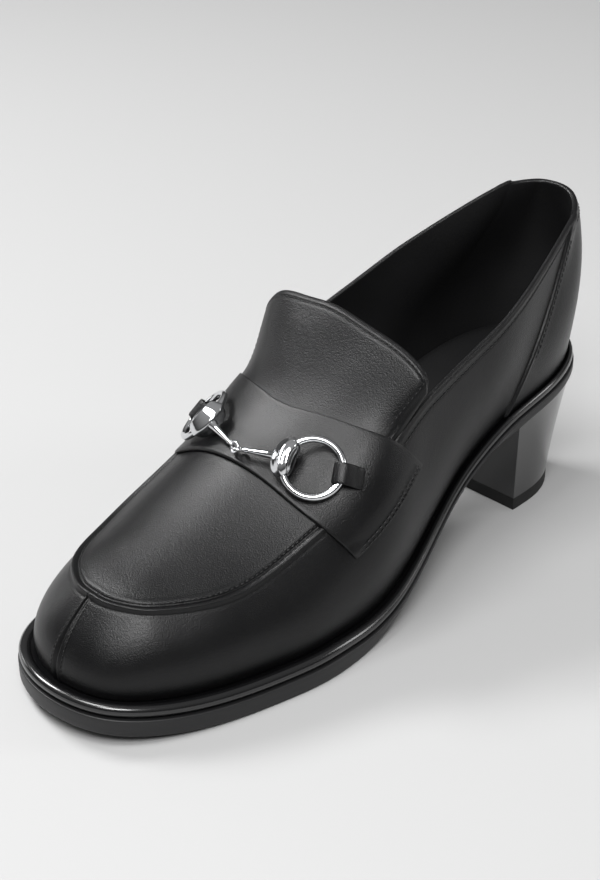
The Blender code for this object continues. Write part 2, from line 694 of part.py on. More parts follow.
def make_tongue(material):
    """Tongue: starts behind the plug, level with it, and rises freely to its arched top edge."""
    start = q_where("crest_at", THROAT_AT) + 2.2 * GAP / SIDE_RUN
    reach = on_curves(plug_handles(np.array([start])), np.zeros((1, 1)))[1][0]
    half = TONGUE_SIDE / reach + np.array(TONGUE_COLUMNS) * (1 - TONGUE_SIDE / reach)
    rows = []
    for share in TONGUE_BASE_ROWS:
        row = []
        for medial in (False, True):
            rear = strap_edge("rear", half, medial)
            q = start + (rear - start) * share
            row.append(skin(2 - q if medial else q, half))
        rows.append(np.vstack([row[0], row[1][-2::-1]]))
    base = rows[-1]
    heading = rows[-1] - rows[-2]
    heading /= np.linalg.norm(heading, axis=1)[:, None]
    run = np.concatenate([[0.0], np.cumsum(np.linalg.norm(np.diff(base, axis=0), axis=1))])
    top = tongue_arch(run / run[-1])
    chord = top - base
    heading *= np.linalg.norm(chord, axis=1)[:, None]
    for t in np.linspace(0, 1, TONGUE_RISE_ROWS + 1)[1:]:
        point = base + (top - base) * (3 * t * t - 2 * t ** 3)
        rows.append(point + heading * (t - 2 * t * t + t ** 3) + chord * (t ** 3 - t * t))
    mesh = Mesh()
    mesh.grid(mesh.add(np.array(rows)))
    mesh.thicken(0.0, TONGUE_WALL)
    return mesh.make("tongue", material)


def strap_edge(column, up, medial):
    """Loop parameter of the strap's front or rear edge at heights of the skin."""
    rows = np.array(STRAP_MEDIAL if medial else STRAP_LATERAL)
    place = STRAP_COLUMNS.index(column)
    return np.interp(up, rows[:, 0], rows[:, place])


def make_strap(material):
    """Strap across the instep, over the plug's end and the tongue's base, thin at its sewn ends."""
    halves = []
    for medial in (False, True):
        ends = STRAP_END_MEDIAL if medial else STRAP_END_LATERAL
        end = ends[0] + (ends[1] - ends[0]) * np.array(STRAP_BACK)
        down = end[:, None] * (1 - np.array(STRAP_DOWN))
        up = np.column_stack([down, np.tile(STRAP_OVER, (len(end), 1))])
        front = strap_edge("front", up, medial)
        rear = strap_edge("rear", up, medial)
        q = front + (rear - front) * np.array(STRAP_BACK)[:, None]
        halves.append(skin((2 - q if medial else q).ravel(), up.ravel()).reshape(up.shape + (3,)))
    sheet = np.concatenate([halves[0], halves[1][:, -2::-1]], axis=1)
    sewn = np.array(STRAP_DOWN + STRAP_OVER)
    sewn[:len(STRAP_DOWN)] -= 1
    sewn = np.concatenate([sewn, sewn[-2::-1]])
    full = smoothstep(-1.0, -0.3, sewn)[None, :]
    back = np.array(STRAP_BACK)[:, None]
    thick = STRAP_SKIVED + (STRAP_WALL - STRAP_SKIVED) * full
    thick = thick * (1 - (1 - STRAP_REAR_WALL) * back ** 3)
    mesh = Mesh()
    mesh.grid(mesh.add(sheet))
    mesh.thicken(GAP + thick.ravel(), -GAP)
    return mesh.make("strap", material)


def skin_frame(at, up):
    """Point of the skin and its outward normal."""
    step = 2e-3
    point = skin(at, up)[0]
    along = skin(at + step, up)[0] - skin(at - step, up)[0]
    over = skin(at, up + 4 * step)[0] - skin(at, up - 4 * step)[0]
    normal = np.cross(along, over)
    normal *= np.sign(normal[2]) / np.linalg.norm(normal)
    return point, normal


def lifted(place):
    """Point over the skin at (loop parameter, height, lift)."""
    point, normal = skin_frame(place[0], place[1])
    return point + normal * place[2]


def unit(vector):
    return vector / np.linalg.norm(vector)


def tube(path, radii, normal_of, sides=ROUND_SIDES, wrap=False):
    """Round tube through a path; normal_of gives a direction across it for each point."""
    path = np.asarray(path, float)
    mesh = Mesh()
    turn = np.linspace(0, 2 * np.pi, sides, endpoint=False)
    rings = []
    for i, point in enumerate(path):
        ahead = path[(i + 1) % len(path)] if (wrap or i + 1 < len(path)) else point
        behind = path[i - 1] if (wrap or i > 0) else point
        along = unit(ahead - behind)
        across = unit(normal_of(i) - along * np.dot(normal_of(i), along))
        other = np.cross(along, across)
        ring = np.outer(np.cos(turn), across) + np.outer(np.sin(turn), other)
        rings.append(point + ring * radii[i])
    index = mesh.add(np.array(rings))
    index = np.column_stack([index, index[:, :1]])
    mesh.grid(index, wrap=wrap)
    if not wrap:
        mesh.face(list(index[0, :-1])[::-1])
        mesh.face(list(index[-1, :-1]))
    return mesh


def circle(centre, first, second, radius, turns):
    return centre + radius * (np.outer(np.cos(turns), first) + np.outer(np.sin(turns), second))


def ring_frame(places):
    """Ring's middle, direction to its barrel, direction along the barrel, and the ring's axis."""
    centre = lifted(places["ring"])
    outward = unit(lifted(places["barrel"]) - centre)
    normal = skin_frame(*places["ring"][:2])[1]
    beside = unit(np.cross(normal, outward))
    return centre, outward, beside, np.cross(outward, beside)


def make_ring(name, places, material):
    centre, outward, beside, axis = ring_frame(places)
    turns = np.linspace(0, 2 * np.pi, 28, endpoint=False)
    path = circle(centre, outward, beside, RING_RADIUS, turns)
    return tube(path, [WIRE] * len(path), lambda i: axis, wrap=True).make(name, material)


def barrel_mesh(places):
    """Fat sleeve on the ring, its hole following the wire."""
    centre, outward, beside, axis = ring_frame(places)
    rows = np.array(BARREL)
    turns = np.radians(BARREL_HALF_TURN) * rows[:, 0]
    path = circle(centre, outward, beside, RING_RADIUS, turns)
    outside = tube(path, rows[:, 1], lambda i: axis, sides=12)
    inside = tube(path, [BARREL_HOLE] * len(path), lambda i: axis, sides=12)
    mesh = Mesh()
    count = len(rows) * 12
    a = mesh.add(np.array(outside.points)).reshape(len(rows), 12)
    b = mesh.add(np.array(inside.points)).reshape(len(rows), 12)
    sheet = np.vstack([a, b[::-1]])
    sheet = np.column_stack([sheet, sheet[:, :1]])
    mesh.grid(sheet, wrap=True)
    return mesh


def join(name, pieces):
    """One solid from pieces that run into each other."""
    first = pieces[0]
    for other in pieces[1:]:
        union = first.modifiers.new("union", "BOOLEAN")
        union.operation = "UNION"
        union.solver = "EXACT"
        union.object = other
    seen = first.evaluated_get(bpy.context.evaluated_depsgraph_get())
    data = bpy.data.meshes.new_from_object(seen)
    material = first.data.materials[0]
    for item in pieces:
        bpy.data.objects.remove(item, do_unlink=True)
    data.name = name
    data.materials.clear()
    data.materials.append(material)
    piece = bpy.data.objects.new(name, data)
    bpy.context.scene.collection.objects.link(piece)
    return piece


def make_bar(name, places, material):
    """Barrel, tapered bar and the eye at its end, which hooks into the other bar's eye."""
    centre, outward, beside, axis = ring_frame(places)
    barrel = centre + outward * RING_RADIUS
    point, normal = skin_frame(1.0 * q_where("crest_at", LINK_AT), 0.999)
    link = crest(LINK_AT)[0] + normal * LINK_LIFT
    way = unit(link - barrel)
    start = barrel + way * BAR_START
    eye = link - way * 0.5 * EYE_RADIUS
    stop = eye - way * EYE_RADIUS
    rows = np.array(BAR)
    path = start + rows[:, :1] * (stop - start)
    level = unit(np.cross(way, normal))
    across = unit(level + np.cross(way, level))
    turns = np.linspace(0, 2 * np.pi, 14, endpoint=False)
    loop = circle(eye, way, across, EYE_RADIUS, turns)
    pieces = (
        barrel_mesh(places).make(name + "_barrel", material),
        tube(path, rows[:, 1], lambda i: normal).make(name + "_taper", material),
        tube(loop, [EYE_WIRE] * len(loop), lambda i: np.cross(way, across), sides=6, wrap=True).make(name + "_eye", material),
    )
    return join(name, pieces)


def make_keeper(name, places, material):
    """Leather strip over the ring's wire, down into its slit."""
    wire = np.array(places["wire"])
    slit = np.array(places["slit"])
    under, normal = skin_frame(wire[0], wire[1])
    foot = skin_frame(slit[0], slit[1])[0] - under
    run = np.linalg.norm(foot)
    centre, outward, beside, axis = ring_frame(places)
    ring = circle(centre, outward, beside, RING_RADIUS, np.linspace(0, 2 * np.pi, 180)) - under
    height = ring @ normal
    over = np.argmin(np.linalg.norm(ring - height[:, None] * normal, axis=1))
    wire[2] = height[over]
    arc = 0.5 * KEEPER_WIDTH ** 2 / (4 * RING_RADIUS)
    shift = (ring[over] - height[over] * normal) @ foot / run - 0.5 * arc
    low = GAP + STRAP_WALL + GAP + 0.5 * KEEPER_WALL
    bow = WIRE + KEEPER_ROOM + 0.5 * KEEPER_WALL
    reach = bow + 0.5 * arc
    profile = [(-reach, low)]
    for degrees in (180, 135, 90, 45):
        turn = np.radians(degrees)
        profile.append((reach * np.cos(turn), wire[2] + bow * np.sin(turn)))
    profile += [(reach + 0.1, 0.5 * (low + wire[2]) + 0.3), (reach + 1.2, low + 0.35), (KEEPER_FOOT, low)]
    middle, normals = [], []
    for along, lift in profile:
        here = wire + (slit - wire) * (along + shift) / run
        point, normal = skin_frame(here[0], here[1])
        middle.append(point + normal * lift)
        normals.append(normal)
    middle = np.array(middle)
    way = unit(middle[-1] - middle[0])
    across = unit(np.cross(way, normals[2]))
    mesh = Mesh()
    sides = []
    for i, point in enumerate(middle):
        ahead = unit(middle[min(i + 1, len(middle) - 1)] - middle[max(i - 1, 0)])
        out = unit(np.cross(across, ahead))
        sides.append((point + out * 0.5 * KEEPER_WALL, point - out * 0.5 * KEEPER_WALL))
    upper = [pair[0] for pair in sides]
    lower = [pair[1] for pair in sides]
    loop = np.array(upper + lower[::-1])
    index = mesh.add(np.stack([loop - across * 0.5 * KEEPER_WIDTH, loop + across * 0.5 * KEEPER_WIDTH]))
    index = np.column_stack([index, index[:, :1]])
    mesh.grid(index)
    count = len(upper)
    for row, turn in ((index[0], 1), (index[1], -1)):
        for i in range(count - 1):
            mesh.face([row[i], row[i + 1], row[2 * count - 2 - i], row[2 * count - 1 - i]][::turn])
    return mesh.make(name, material)


def paint(name, colour, roughness, metallic=0.0):
    """Plain material with its own colour and gloss."""
    material = bpy.data.materials.new(name)
    material.use_nodes = True
    shader = material.node_tree.nodes["Principled BSDF"]
    shader.inputs["Base Color"].default_value = (*colour, 1.0)
    shader.inputs["Roughness"].default_value = roughness
    shader.inputs["Metallic"].default_value = metallic
    return material


def stand_on_origin(pieces):
    """Move all the pieces so that the origin is under the middle of their common box."""
    points = [corner.co for piece in pieces for corner in piece.data.vertices]
    low = Vector([min(point[axis] for point in points) for axis in range(3)])
    high = Vector([max(point[axis] for point in points) for axis in range(3)])
    middle = (low + high) / 2
    middle.z = low.z
    for piece in pieces:
        piece.data.transform(Matrix.Translation(-middle))


def main():
    for item in list(bpy.data.objects):
        bpy.data.objects.remove(item, do_unlink=True)
    side = side_stations()
    make_outsole(side, paint("sole_black", (0.020, 0.020, 0.021), 0.5))
    make_welt(side, paint("welt_black", (0.015, 0.015, 0.016), 0.25))
    make_heel(side, paint("heel_black", (0.018, 0.018, 0.019), 0.3))
    make_heel_tip(side, paint("tip_rubber", (0.022, 0.022, 0.022), 0.7))
    make_insole(side, paint("insole_leather", (0.030, 0.028, 0.027), 0.6))
    make_upper(side, paint("upper_calf", (0.016, 0.016, 0.017), 0.4))
    make_tongue(paint("tongue_calf", (0.017, 0.017, 0.018), 0.4))
    make_strap(paint("strap_calf", (0.016, 0.016, 0.017), 0.4))
    metal = paint("bit_metal", (0.75, 0.75, 0.76), 0.1, 1.0)
    leather = paint("keeper_calf", (0.018, 0.018, 0.019), 0.35)
    for end, places in (("lateral", BIT_LATERAL), ("medial", BIT_MEDIAL)):
        make_ring("bit_ring_" + end, places, metal)
        make_bar("bit_bar_" + end, places, metal)
        make_keeper("keeper_" + end, places, leather)
    stand_on_origin(list(bpy.data.objects))


if __name__ == "__main__":
    main()
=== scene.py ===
"""Bit loafer, left shoe: the visual model, made as surfaces worked out from the shoe's own sizes.

All lengths are in millimetres in the shoe's own frame until a mesh is made: x runs across the foot,
plus is the outer side, s runs along it from the toe tip to the heel back, z is up from the floor.
"""

import bpy
import numpy as np
from bpy.props import FloatProperty, FloatVectorProperty, PointerProperty
from mathutils import Matrix, Vector


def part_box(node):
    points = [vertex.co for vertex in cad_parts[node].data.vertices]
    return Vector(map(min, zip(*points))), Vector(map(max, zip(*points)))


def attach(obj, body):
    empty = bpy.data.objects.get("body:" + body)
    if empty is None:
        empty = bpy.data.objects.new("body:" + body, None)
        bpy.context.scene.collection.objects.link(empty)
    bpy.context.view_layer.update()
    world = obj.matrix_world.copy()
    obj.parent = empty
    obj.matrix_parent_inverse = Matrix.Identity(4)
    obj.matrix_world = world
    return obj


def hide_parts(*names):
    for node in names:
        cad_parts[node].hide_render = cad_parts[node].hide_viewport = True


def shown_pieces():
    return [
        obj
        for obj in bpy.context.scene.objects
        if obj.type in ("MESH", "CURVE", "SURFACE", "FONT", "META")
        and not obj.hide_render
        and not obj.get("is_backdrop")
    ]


bl_info = {
    "name": "Bit loafer",
    "version": (1, 0, 0),
    "blender": (4, 5, 0),
    "location": "3D View > Sidebar > Bit Loafer",
    "description": "Builds a heeled loafer with a strap and a metal bit on its packed frame",
    "category": "Add Mesh",
}

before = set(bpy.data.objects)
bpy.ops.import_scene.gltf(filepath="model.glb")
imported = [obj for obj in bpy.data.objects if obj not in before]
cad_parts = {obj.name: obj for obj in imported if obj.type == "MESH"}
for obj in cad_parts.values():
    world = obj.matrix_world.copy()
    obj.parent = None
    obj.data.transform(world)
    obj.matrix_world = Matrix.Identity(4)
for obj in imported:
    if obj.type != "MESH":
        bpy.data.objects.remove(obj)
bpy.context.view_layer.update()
MM = 0.001
GAP = 0.3                  # clearance between pieces that touch

# Sole: lengths along it and heights
LENGTH = 243.0             # outsole, toe tip to heel back
BALL_WIDTH = 89.8          # outsole across the ball
TOE_SPRING = 5.4           # lift of the outsole's toe
FLAT_START = 62.0          # where the forepart touches the floor
FLAT_LENGTH = 32.0
SEAT_LENGTH = 51.0         # heel breast to heel back
BREAST_HEIGHT = 41.0       # floor to outsole at the breast
SEAT_RISE = 6.0            # further rise of the seat to the heel back
OUTSOLE_FORE = 6.2
OUTSOLE_REAR = 3.4
OUTSOLE_EDGE = 0.7         # bevel of its edges
OUTSOLE_UNDERCUT = 1.5     # how far its side leans in underneath, from the waist back
WELT_FORE = 4.2            # height of the rounded welt
WELT_REAR = 3.4
WELT_INSET = 0.4           # welt behind the outsole's edge
WELT_LIP = 1.2             # how far the bead stands above the bed of the upper
INSOLE = 2.0

# Heel: the top lift's plan
TIP_FRONT = 7.5            # how far the tip's front lies behind the breast
TIP_LENGTH = 34.0
TIP_NARROWING = 0.72       # tip's width as a share of the seat's
TIP_OFF = 0.75             # tip's middle towards the lateral side
TIP_HEIGHT = 5.0
TIP_EDGE = 0.5             # bevel round its underside
HEEL_INSET = 0.8           # heel block inside the outsole's edge
HEEL_HOLLOW = 0.35         # share by which the block's sides curve in

# Upper: heights over the sole's bed, and thicknesses
UPPER_HEIGHT = 62.0        # seam, topline and back are shares of it
INSTEP_HEIGHT = 76.0       # the crest over the instep is a share of it
WALL = 1.8
BACK_PANEL_STEP = 0.8      # the back panel lies on the quarters
BACK_PANEL_SKIVED = 0.25   # share of that step left at the topline
TONGUE_WALL = 1.8
STRAP_WALL = 1.6

# A row for each section, from toe to heel. "at" and the other places are shares of LENGTH, widths
# are shares of BALL_WIDTH, "edge_up" of UPPER_HEIGHT, "ledge" is the welt's show in mm, "tilt" the
# wall's lean at its edge in degrees. The edge is the plug's seam, and behind it the topline.
COLUMNS = ("at", "half", "ledge", "edge_at", "edge_half", "edge_up", "lean", "tilt", "crest_at")
TOE = (0.000, 0.000, 6.2, 0.091, 0.000, 0.450, 0.030, 52, 0.155)
LATERAL = (
    (0.015, 0.188, 6.2, 0.094, 0.082, 0.450, 0.030, 52, 0.158),
    (0.035, 0.266, 6.2, 0.102, 0.130, 0.450, 0.030, 50, 0.164),
    (0.070, 0.340, 6.1, 0.119, 0.191, 0.448, 0.032, 48, 0.176),
    (0.120, 0.405, 6.0, 0.150, 0.246, 0.446, 0.035, 45, 0.197),
    (0.180, 0.454, 5.9, 0.195, 0.303, 0.448, 0.040, 42, 0.228),
    (0.250, 0.492, 5.8, 0.255, 0.338, 0.471, 0.044, 38, 0.274),
    (0.320, 0.517, 5.6, 0.321, 0.352, 0.545, 0.050, 36, 0.326),
    (0.390, 0.509, 5.4, 0.391, 0.375, 0.668, 0.056, 34, 0.376),
    (0.470, 0.483, 4.9, 0.468, 0.401, 0.827, 0.062, 24, 0.440),
    (0.560, 0.415, 4.3, 0.564, 0.366, 0.860, 0.070, 10, 0.582),
    (0.660, 0.342, 3.9, 0.700, 0.330, 0.721, 0.070, 6, 0.700),
    (0.715, 0.328, 3.8, 0.800, 0.301, 0.734, 0.062, 6, 0.800),
    (0.765, 0.320, 3.7, 0.925, 0.205, 0.846, 0.052, 8, 0.925),
    (0.815, 0.313, 3.6, 0.949, 0.178, 0.866, 0.047, 9, 0.949),
    (0.872, 0.298, 3.6, 0.961, 0.154, 0.873, 0.042, 10, 0.961),
    (0.938, 0.235, 3.6, 0.976, 0.118, 0.888, 0.036, 12, 0.976),
    (0.984, 0.125, 3.6, 0.989, 0.066, 0.907, 0.034, 13, 0.989),
)
MEDIAL = (
    (0.015, 0.188, 6.2, 0.094, 0.075, 0.450, 0.030, 52, 0.158),
    (0.035, 0.276, 6.2, 0.102, 0.122, 0.450, 0.030, 50, 0.164),
    (0.070, 0.359, 6.1, 0.119, 0.190, 0.448, 0.032, 48, 0.176),
    (0.120, 0.422, 6.0, 0.150, 0.260, 0.446, 0.035, 45, 0.197),
    (0.180, 0.462, 5.9, 0.195, 0.318, 0.448, 0.040, 42, 0.228),
    (0.250, 0.482, 5.8, 0.255, 0.372, 0.471, 0.046, 36, 0.274),
    (0.320, 0.483, 5.6, 0.321, 0.392, 0.545, 0.056, 34, 0.326),
    (0.390, 0.439, 5.4, 0.391, 0.400, 0.655, 0.075, 32, 0.376),
    (0.470, 0.353, 4.9, 0.468, 0.405, 0.812, 0.110, 22, 0.440),
    (0.560, 0.280, 4.3, 0.564, 0.396, 0.860, 0.130, 10, 0.582),
    (0.660, 0.254, 3.9, 0.700, 0.344, 0.773, 0.120, 5, 0.700),
    (0.715, 0.276, 3.8, 0.800, 0.290, 0.794, 0.095, 5, 0.800),
    (0.765, 0.304, 3.7, 0.925, 0.179, 0.916, 0.072, 8, 0.925),
    (0.815, 0.306, 3.6, 0.949, 0.155, 0.927, 0.060, 9, 0.949),
    (0.872, 0.292, 3.6, 0.961, 0.135, 0.923, 0.048, 10, 0.961),
    (0.938, 0.232, 3.6, 0.976, 0.102, 0.925, 0.036, 12, 0.976),
    (0.984, 0.112, 3.6, 0.989, 0.056, 0.922, 0.034, 13, 0.989),
)
HEEL = (1.000, 0.012, 3.6, 0.992, 0.010, 0.920, 0.034, 13, 0.992)

# The crest of plug and instep: place as a share of LENGTH, x of BALL_WIDTH, height of INSTEP_HEIGHT
CREST_COLUMNS = ("at", "off", "up")
CREST = (
    (0.155, 0.000, 0.437),
    (0.200, -0.002, 0.480),
    (0.250, -0.006, 0.530),
    (0.310, -0.014, 0.600),
    (0.360, -0.020, 0.670),
    (0.430, -0.034, 0.788),
    (0.500, -0.060, 0.930),
    (0.547, -0.075, 1.025),
    (0.600, -0.080, 1.110),
    (0.700, -0.040, 1.200),
    (1.000, 0.010, 1.200),
)

# The tongue's top edge, in one plane across the shoe: x as a share of TONGUE_HALF, z as a share
# of the rise from its corners to its top, from the lateral corner to the medial one
TONGUE_AT = 133.0
TONGUE_HALF = 37.5
TONGUE_CORNER = 80.4
TONGUE_TOP = 97.8
TONGUE_SIDE = 1.0          # its side edges stand this far above the topline
TONGUE_ARCH_COLUMNS = ("across", "up")
TONGUE_ARCH = (
    (0.985, 0.00),
    (0.975, 0.27),
    (0.790, 0.60),
    (0.300, 0.86),
    (-0.200, 1.00),
    (-0.500, 0.94),
    (-0.860, 0.77),
    (-1.010, 0.32),
    (-1.025, 0.00),
)

# The strap's front and rear edges: loop parameters at heights of the skin, where 0 is the
# topline, 1 the crest and -1 the feather line. Its ends are skived where they are sewn down.
STRAP_COLUMNS = ("up", "front", "rear")
STRAP_LATERAL = (
    (-0.37, 0.425, 0.560),
    (0.00, 0.401, 0.519),
    (0.25, 0.391, 0.499),
    (0.50, 0.387, 0.492),
    (1.00, 0.386, 0.491),
)
STRAP_MEDIAL = (
    (-0.37, 0.420, 0.505),
    (0.00, 0.396, 0.512),
    (0.25, 0.388, 0.499),
    (0.50, 0.386, 0.492),
    (1.00, 0.386, 0.491),
)
STRAP_END_COLUMNS = ("front", "rear")
STRAP_END_LATERAL = -0.37, -0.30
STRAP_END_MEDIAL = -0.37, -0.23

# The bit: rings, barrels on them, bars and the eyes that link them
RING_RADIUS = 9.65         # to the wire's middle
WIRE = 1.2
BARREL_HALF_TURN = 38.0    # degrees of the ring that the barrel covers each way
BAR_START = 2.6            # the bar starts inside the barrel's wall
EYE_RADIUS = 1.75
EYE_WIRE = 0.5
LINK_AT = 0.358            # share of LENGTH, on the crest
LINK_LIFT = 4.7            # over the skin

# Where the bit and its keepers lie: loop parameter and height on the skin, lift above it in mm
PLACE_COLUMNS = ("at", "up", "lift")
BIT_LATERAL = {
    "ring": (0.434, 0.365, 4.9),
    "barrel": (0.423, 0.530, 6.1),
    "wire": (0.451, 0.178, 0.0),
    "slit": (0.4605, 0.077, 0.0),
}
BIT_MEDIAL = {
    "ring": (1.567, 0.330, 4.8),
    "barrel": (1.580, 0.518, 6.3),
    "wire": (1.553, 0.099, 0.0),
    "slit": (1.546, 0.005, 0.0),
}
KEEPER_WIDTH = 7.0
KEEPER_WALL = 0.9
KEEPER_FOOT = 5.5          # how far it runs on beyond the wire, to its slit
KEEPER_LIFT = 0.2          # clearance over the strap
KEEPER_ROOM = 0.35         # and round the wire


def smoothstep(low, high, value):
    """0 up to low and 1 from high on, and between them 3 t t - 2 t t t of the share t of the way."""
    share = np.clip((np.asarray(value, float) - low) / (high - low), 0.0, 1.0)
    return share * share * (3.0 - 2.0 * share)


def natural_spline(knots, values):
    """Cubic spline through rows of values, with free ends, as a function of the knots' parameter."""
    knots = np.asarray(knots, float)
    values = np.asarray(values, float).reshape(len(knots), -1)
    step = np.diff(knots)
    slope = np.diff(values, axis=0) / step[:, None]
    count = len(knots)
    matrix = np.eye(count)
    right = np.zeros_like(values)
    for i in range(1, count - 1):
        matrix[i, i - 1:i + 2] = step[i - 1], 2 * (step[i - 1] + step[i]), step[i]
        right[i] = 6 * (slope[i] - slope[i - 1])
    bend = np.linalg.solve(matrix, right)
    return lambda at: spline_value(knots, values, bend, at)


def loop_spline(knots, values, period):
    """Closed cubic spline through rows of values: the last row joins the first after the period."""
    knots = np.append(knots, knots[0] + period)
    values = np.vstack([values, values[:1]])
    step = np.diff(knots)
    slope = np.diff(values, axis=0) / step[:, None]
    count = len(step)
    matrix = np.zeros((count, count))
    right = np.zeros((count, values.shape[1]))
    for i in range(count):
        before = step[i - 1]
        matrix[i, i - 1] += before
        matrix[i, i] += 2 * (before + step[i])
        matrix[i, (i + 1) % count] += step[i]
        right[i] = 6 * (slope[i] - slope[i - 1])
    bend = np.linalg.solve(matrix, right)
    bend = np.vstack([bend, bend[:1]])
    return lambda at: spline_value(knots, values, bend, np.mod(np.asarray(at, float), period))


def spline_value(knots, values, bend, at):
    """Cubic spline between two knots: the straight line a * left + b * right, and on it the bends
    (a a a - a) * left bend + (b b b - b) * right bend, times the step squared, over 6."""
    at = np.atleast_1d(np.asarray(at, float))
    left = np.clip(np.searchsorted(knots, at, side="right") - 1, 0, len(knots) - 2)
    step = (knots[left + 1] - knots[left])[:, None]
    b = (at[:, None] - knots[left][:, None]) / step
    a = 1 - b
    curve = ((a ** 3 - a) * bend[left] + (b ** 3 - b) * bend[left + 1]) * step ** 2 / 6
    return a * values[left] + b * values[left + 1] + curve


def make_loop():
    """The sections as one closed loop: q runs 0 to 1 down the lateral side, 2 to 1 down the medial."""
    lateral = np.array((TOE,) + LATERAL + (HEEL,), float)
    medial = np.array((TOE,) + MEDIAL + (HEEL,), float)
    plan = np.stack([lateral[:, 0] * LENGTH, lateral[:, 1] * BALL_WIDTH], 1)
    other = np.stack([medial[:, 0] * LENGTH, medial[:, 1] * BALL_WIDTH], 1)
    chord = np.linalg.norm(np.diff(plan, axis=0), axis=1) + np.linalg.norm(np.diff(other, axis=0), axis=1)
    knots = np.concatenate([[0.0], np.cumsum(chord)]) / chord.sum()
    medial[1:-1, [1, 4]] *= -1
    loop = np.vstack([lateral, medial[-2:0:-1]])
    return loop_spline(np.concatenate([knots, 2 - knots[-2:0:-1]]), loop, 2.0), chord.sum() / 2


SECTION, SIDE_RUN = make_loop()
CREST_LINE = natural_spline([row[0] for row in CREST], [row[1:] for row in CREST])


def section(q):
    """Named values of the sections at loop parameters q."""
    return dict(zip(COLUMNS, SECTION(q).T))


def bottom(s):
    """Underside of the outsole over the floor: toe spring, flat spot, waist and seat."""
    s = np.asarray(s, float)
    flat_end = FLAT_START + FLAT_LENGTH
    breast = LENGTH - SEAT_LENGTH
    toe = TOE_SPRING * np.clip(1 - s / FLAT_START, 0, None) ** 2
    t = np.clip((s - flat_end) / (breast - flat_end), 0, 1)
    waist = BREAST_HEIGHT * t * t * (2.5 - 1.5 * t)
    slope = 0.5 * BREAST_HEIGHT / (breast - flat_end) * SEAT_LENGTH
    u = np.clip((s - breast) / SEAT_LENGTH, 0, None)
    seat = slope * u + (SEAT_RISE - slope) * u * u
    return toe + waist + seat


def towards_rear(s):
    """0 on the forepart and 1 from the waist back, for the soles that grow thinner."""
    flat_end = FLAT_START + FLAT_LENGTH
    return smoothstep(flat_end - 12, flat_end + 0.62 * (LENGTH - SEAT_LENGTH - flat_end), s)


def outsole_wall(s):
    """Thickness of the outsole, which grows thinner towards the rear."""
    return OUTSOLE_FORE + (OUTSOLE_REAR - OUTSOLE_FORE) * towards_rear(s)


def welt_height(s):
    """Height of the welt, which grows lower towards the rear."""
    return WELT_FORE + (WELT_REAR - WELT_FORE) * towards_rear(s)


def welt_floor(s):
    """Underside of the welt, clear of the outsole's top."""
    return bottom(s) + outsole_wall(s) + GAP


def bed(s):
    """Top of the welt under the upper and the insole."""
    return welt_floor(s) + welt_height(s) - WELT_LIP


def outline(q, inset):
    """The outsole's plan outline at loop parameters q, moved in by the inset: x, s and outward."""
    q = np.asarray(q, float)
    here = section(q)
    nudge = 1e-4
    after, before = section(q + nudge), section(q - nudge)
    dx = (after["half"] - before["half"]) * BALL_WIDTH
    ds = (after["at"] - before["at"]) * LENGTH
    size = np.hypot(dx, ds)
    x = here["half"] * BALL_WIDTH - inset * ds / size
    s = here["at"] * LENGTH + inset * dx / size
    return x, s, np.stack([ds / size, -dx / size], 1)


def crest(share):
    """Crest points at shares of LENGTH."""
    share = np.atleast_1d(np.asarray(share, float))
    off, up = CREST_LINE(share).T
    s = share * LENGTH
    return np.stack([off * BALL_WIDTH, s, bed(s) + up * INSTEP_HEIGHT], 1)


# Handles of the curves across the upper
WALL_HANDLE = 0.42         # share of the wall's height, for both
WALL_DRIFT = 0.30, 0.36    # shares of its run along the shoe, at the foot and at the edge
PLUG_TILT = 16             # degrees that the plug leaves the seam flatter than the wall does
PLUG_HANDLES = 0.36, 0.45  # shares of its width, at the edge and at the crest


def wall_handles(q):
    """Cubic curve from the feather line up to the edge for each q: four control points each."""
    here = section(q)
    x, s, out = outline(q, here["ledge"])
    foot = np.stack([x, s, bed(s) + GAP], 1)
    edge_s = here["edge_at"] * LENGTH
    edge = np.stack([here["edge_half"] * BALL_WIDTH, edge_s, bed(edge_s) + here["edge_up"] * UPPER_HEIGHT], 1)
    rise = edge[:, 2] - foot[:, 2]
    outward = np.column_stack([out, np.zeros(len(out))])
    along = edge - foot
    along[:, 2] = 0
    along -= outward * np.sum(along * outward, 1)[:, None]
    tilt = np.radians(here["tilt"])
    up = np.array([0.0, 0.0, 1.0])
    low = foot + outward * (here["lean"] * BALL_WIDTH)[:, None] + up * (WALL_HANDLE * rise)[:, None]
    low += WALL_DRIFT[0] * along
    high = edge - along * WALL_DRIFT[1]
    high += (outward * np.sin(tilt)[:, None] - up * np.cos(tilt)[:, None]) * (WALL_HANDLE * rise)[:, None]
    return np.stack([foot, low, high, edge], 1)


def plug_handles(q):
    """Cubic curve from the edge up to the crest for each q, level across the crest."""
    here = section(q)
    edge = wall_handles(q)[:, 3]
    top = crest(here["crest_at"])
    nudge = 1e-3
    slope = crest(here["crest_at"] + nudge) - crest(here["crest_at"] - nudge)
    slope = slope[:, 2] / slope[:, 1]
    across = top - edge
    reach = np.linalg.norm(across[:, :2], axis=1)
    inward = np.column_stack([across[:, :2] / reach[:, None], np.zeros(len(reach))])
    tilt = np.radians(here["tilt"] + PLUG_TILT)
    up = np.array([0.0, 0.0, 1.0])
    leaving = inward * np.sin(tilt)[:, None] + up * np.cos(tilt)[:, None]
    low = edge + leaving * (PLUG_HANDLES[0] * reach)[:, None]
    high = top - inward * (PLUG_HANDLES[1] * reach)[:, None]
    high[:, 2] = top[:, 2] + slope * (high[:, 1] - top[:, 1])
    return np.stack([edge, low, high, top], 1)


def run_length(points):
    """Length along a line of points up to each of them."""
    return np.concatenate([[0.0], np.cumsum(np.linalg.norm(np.diff(points, axis=0), axis=1))])


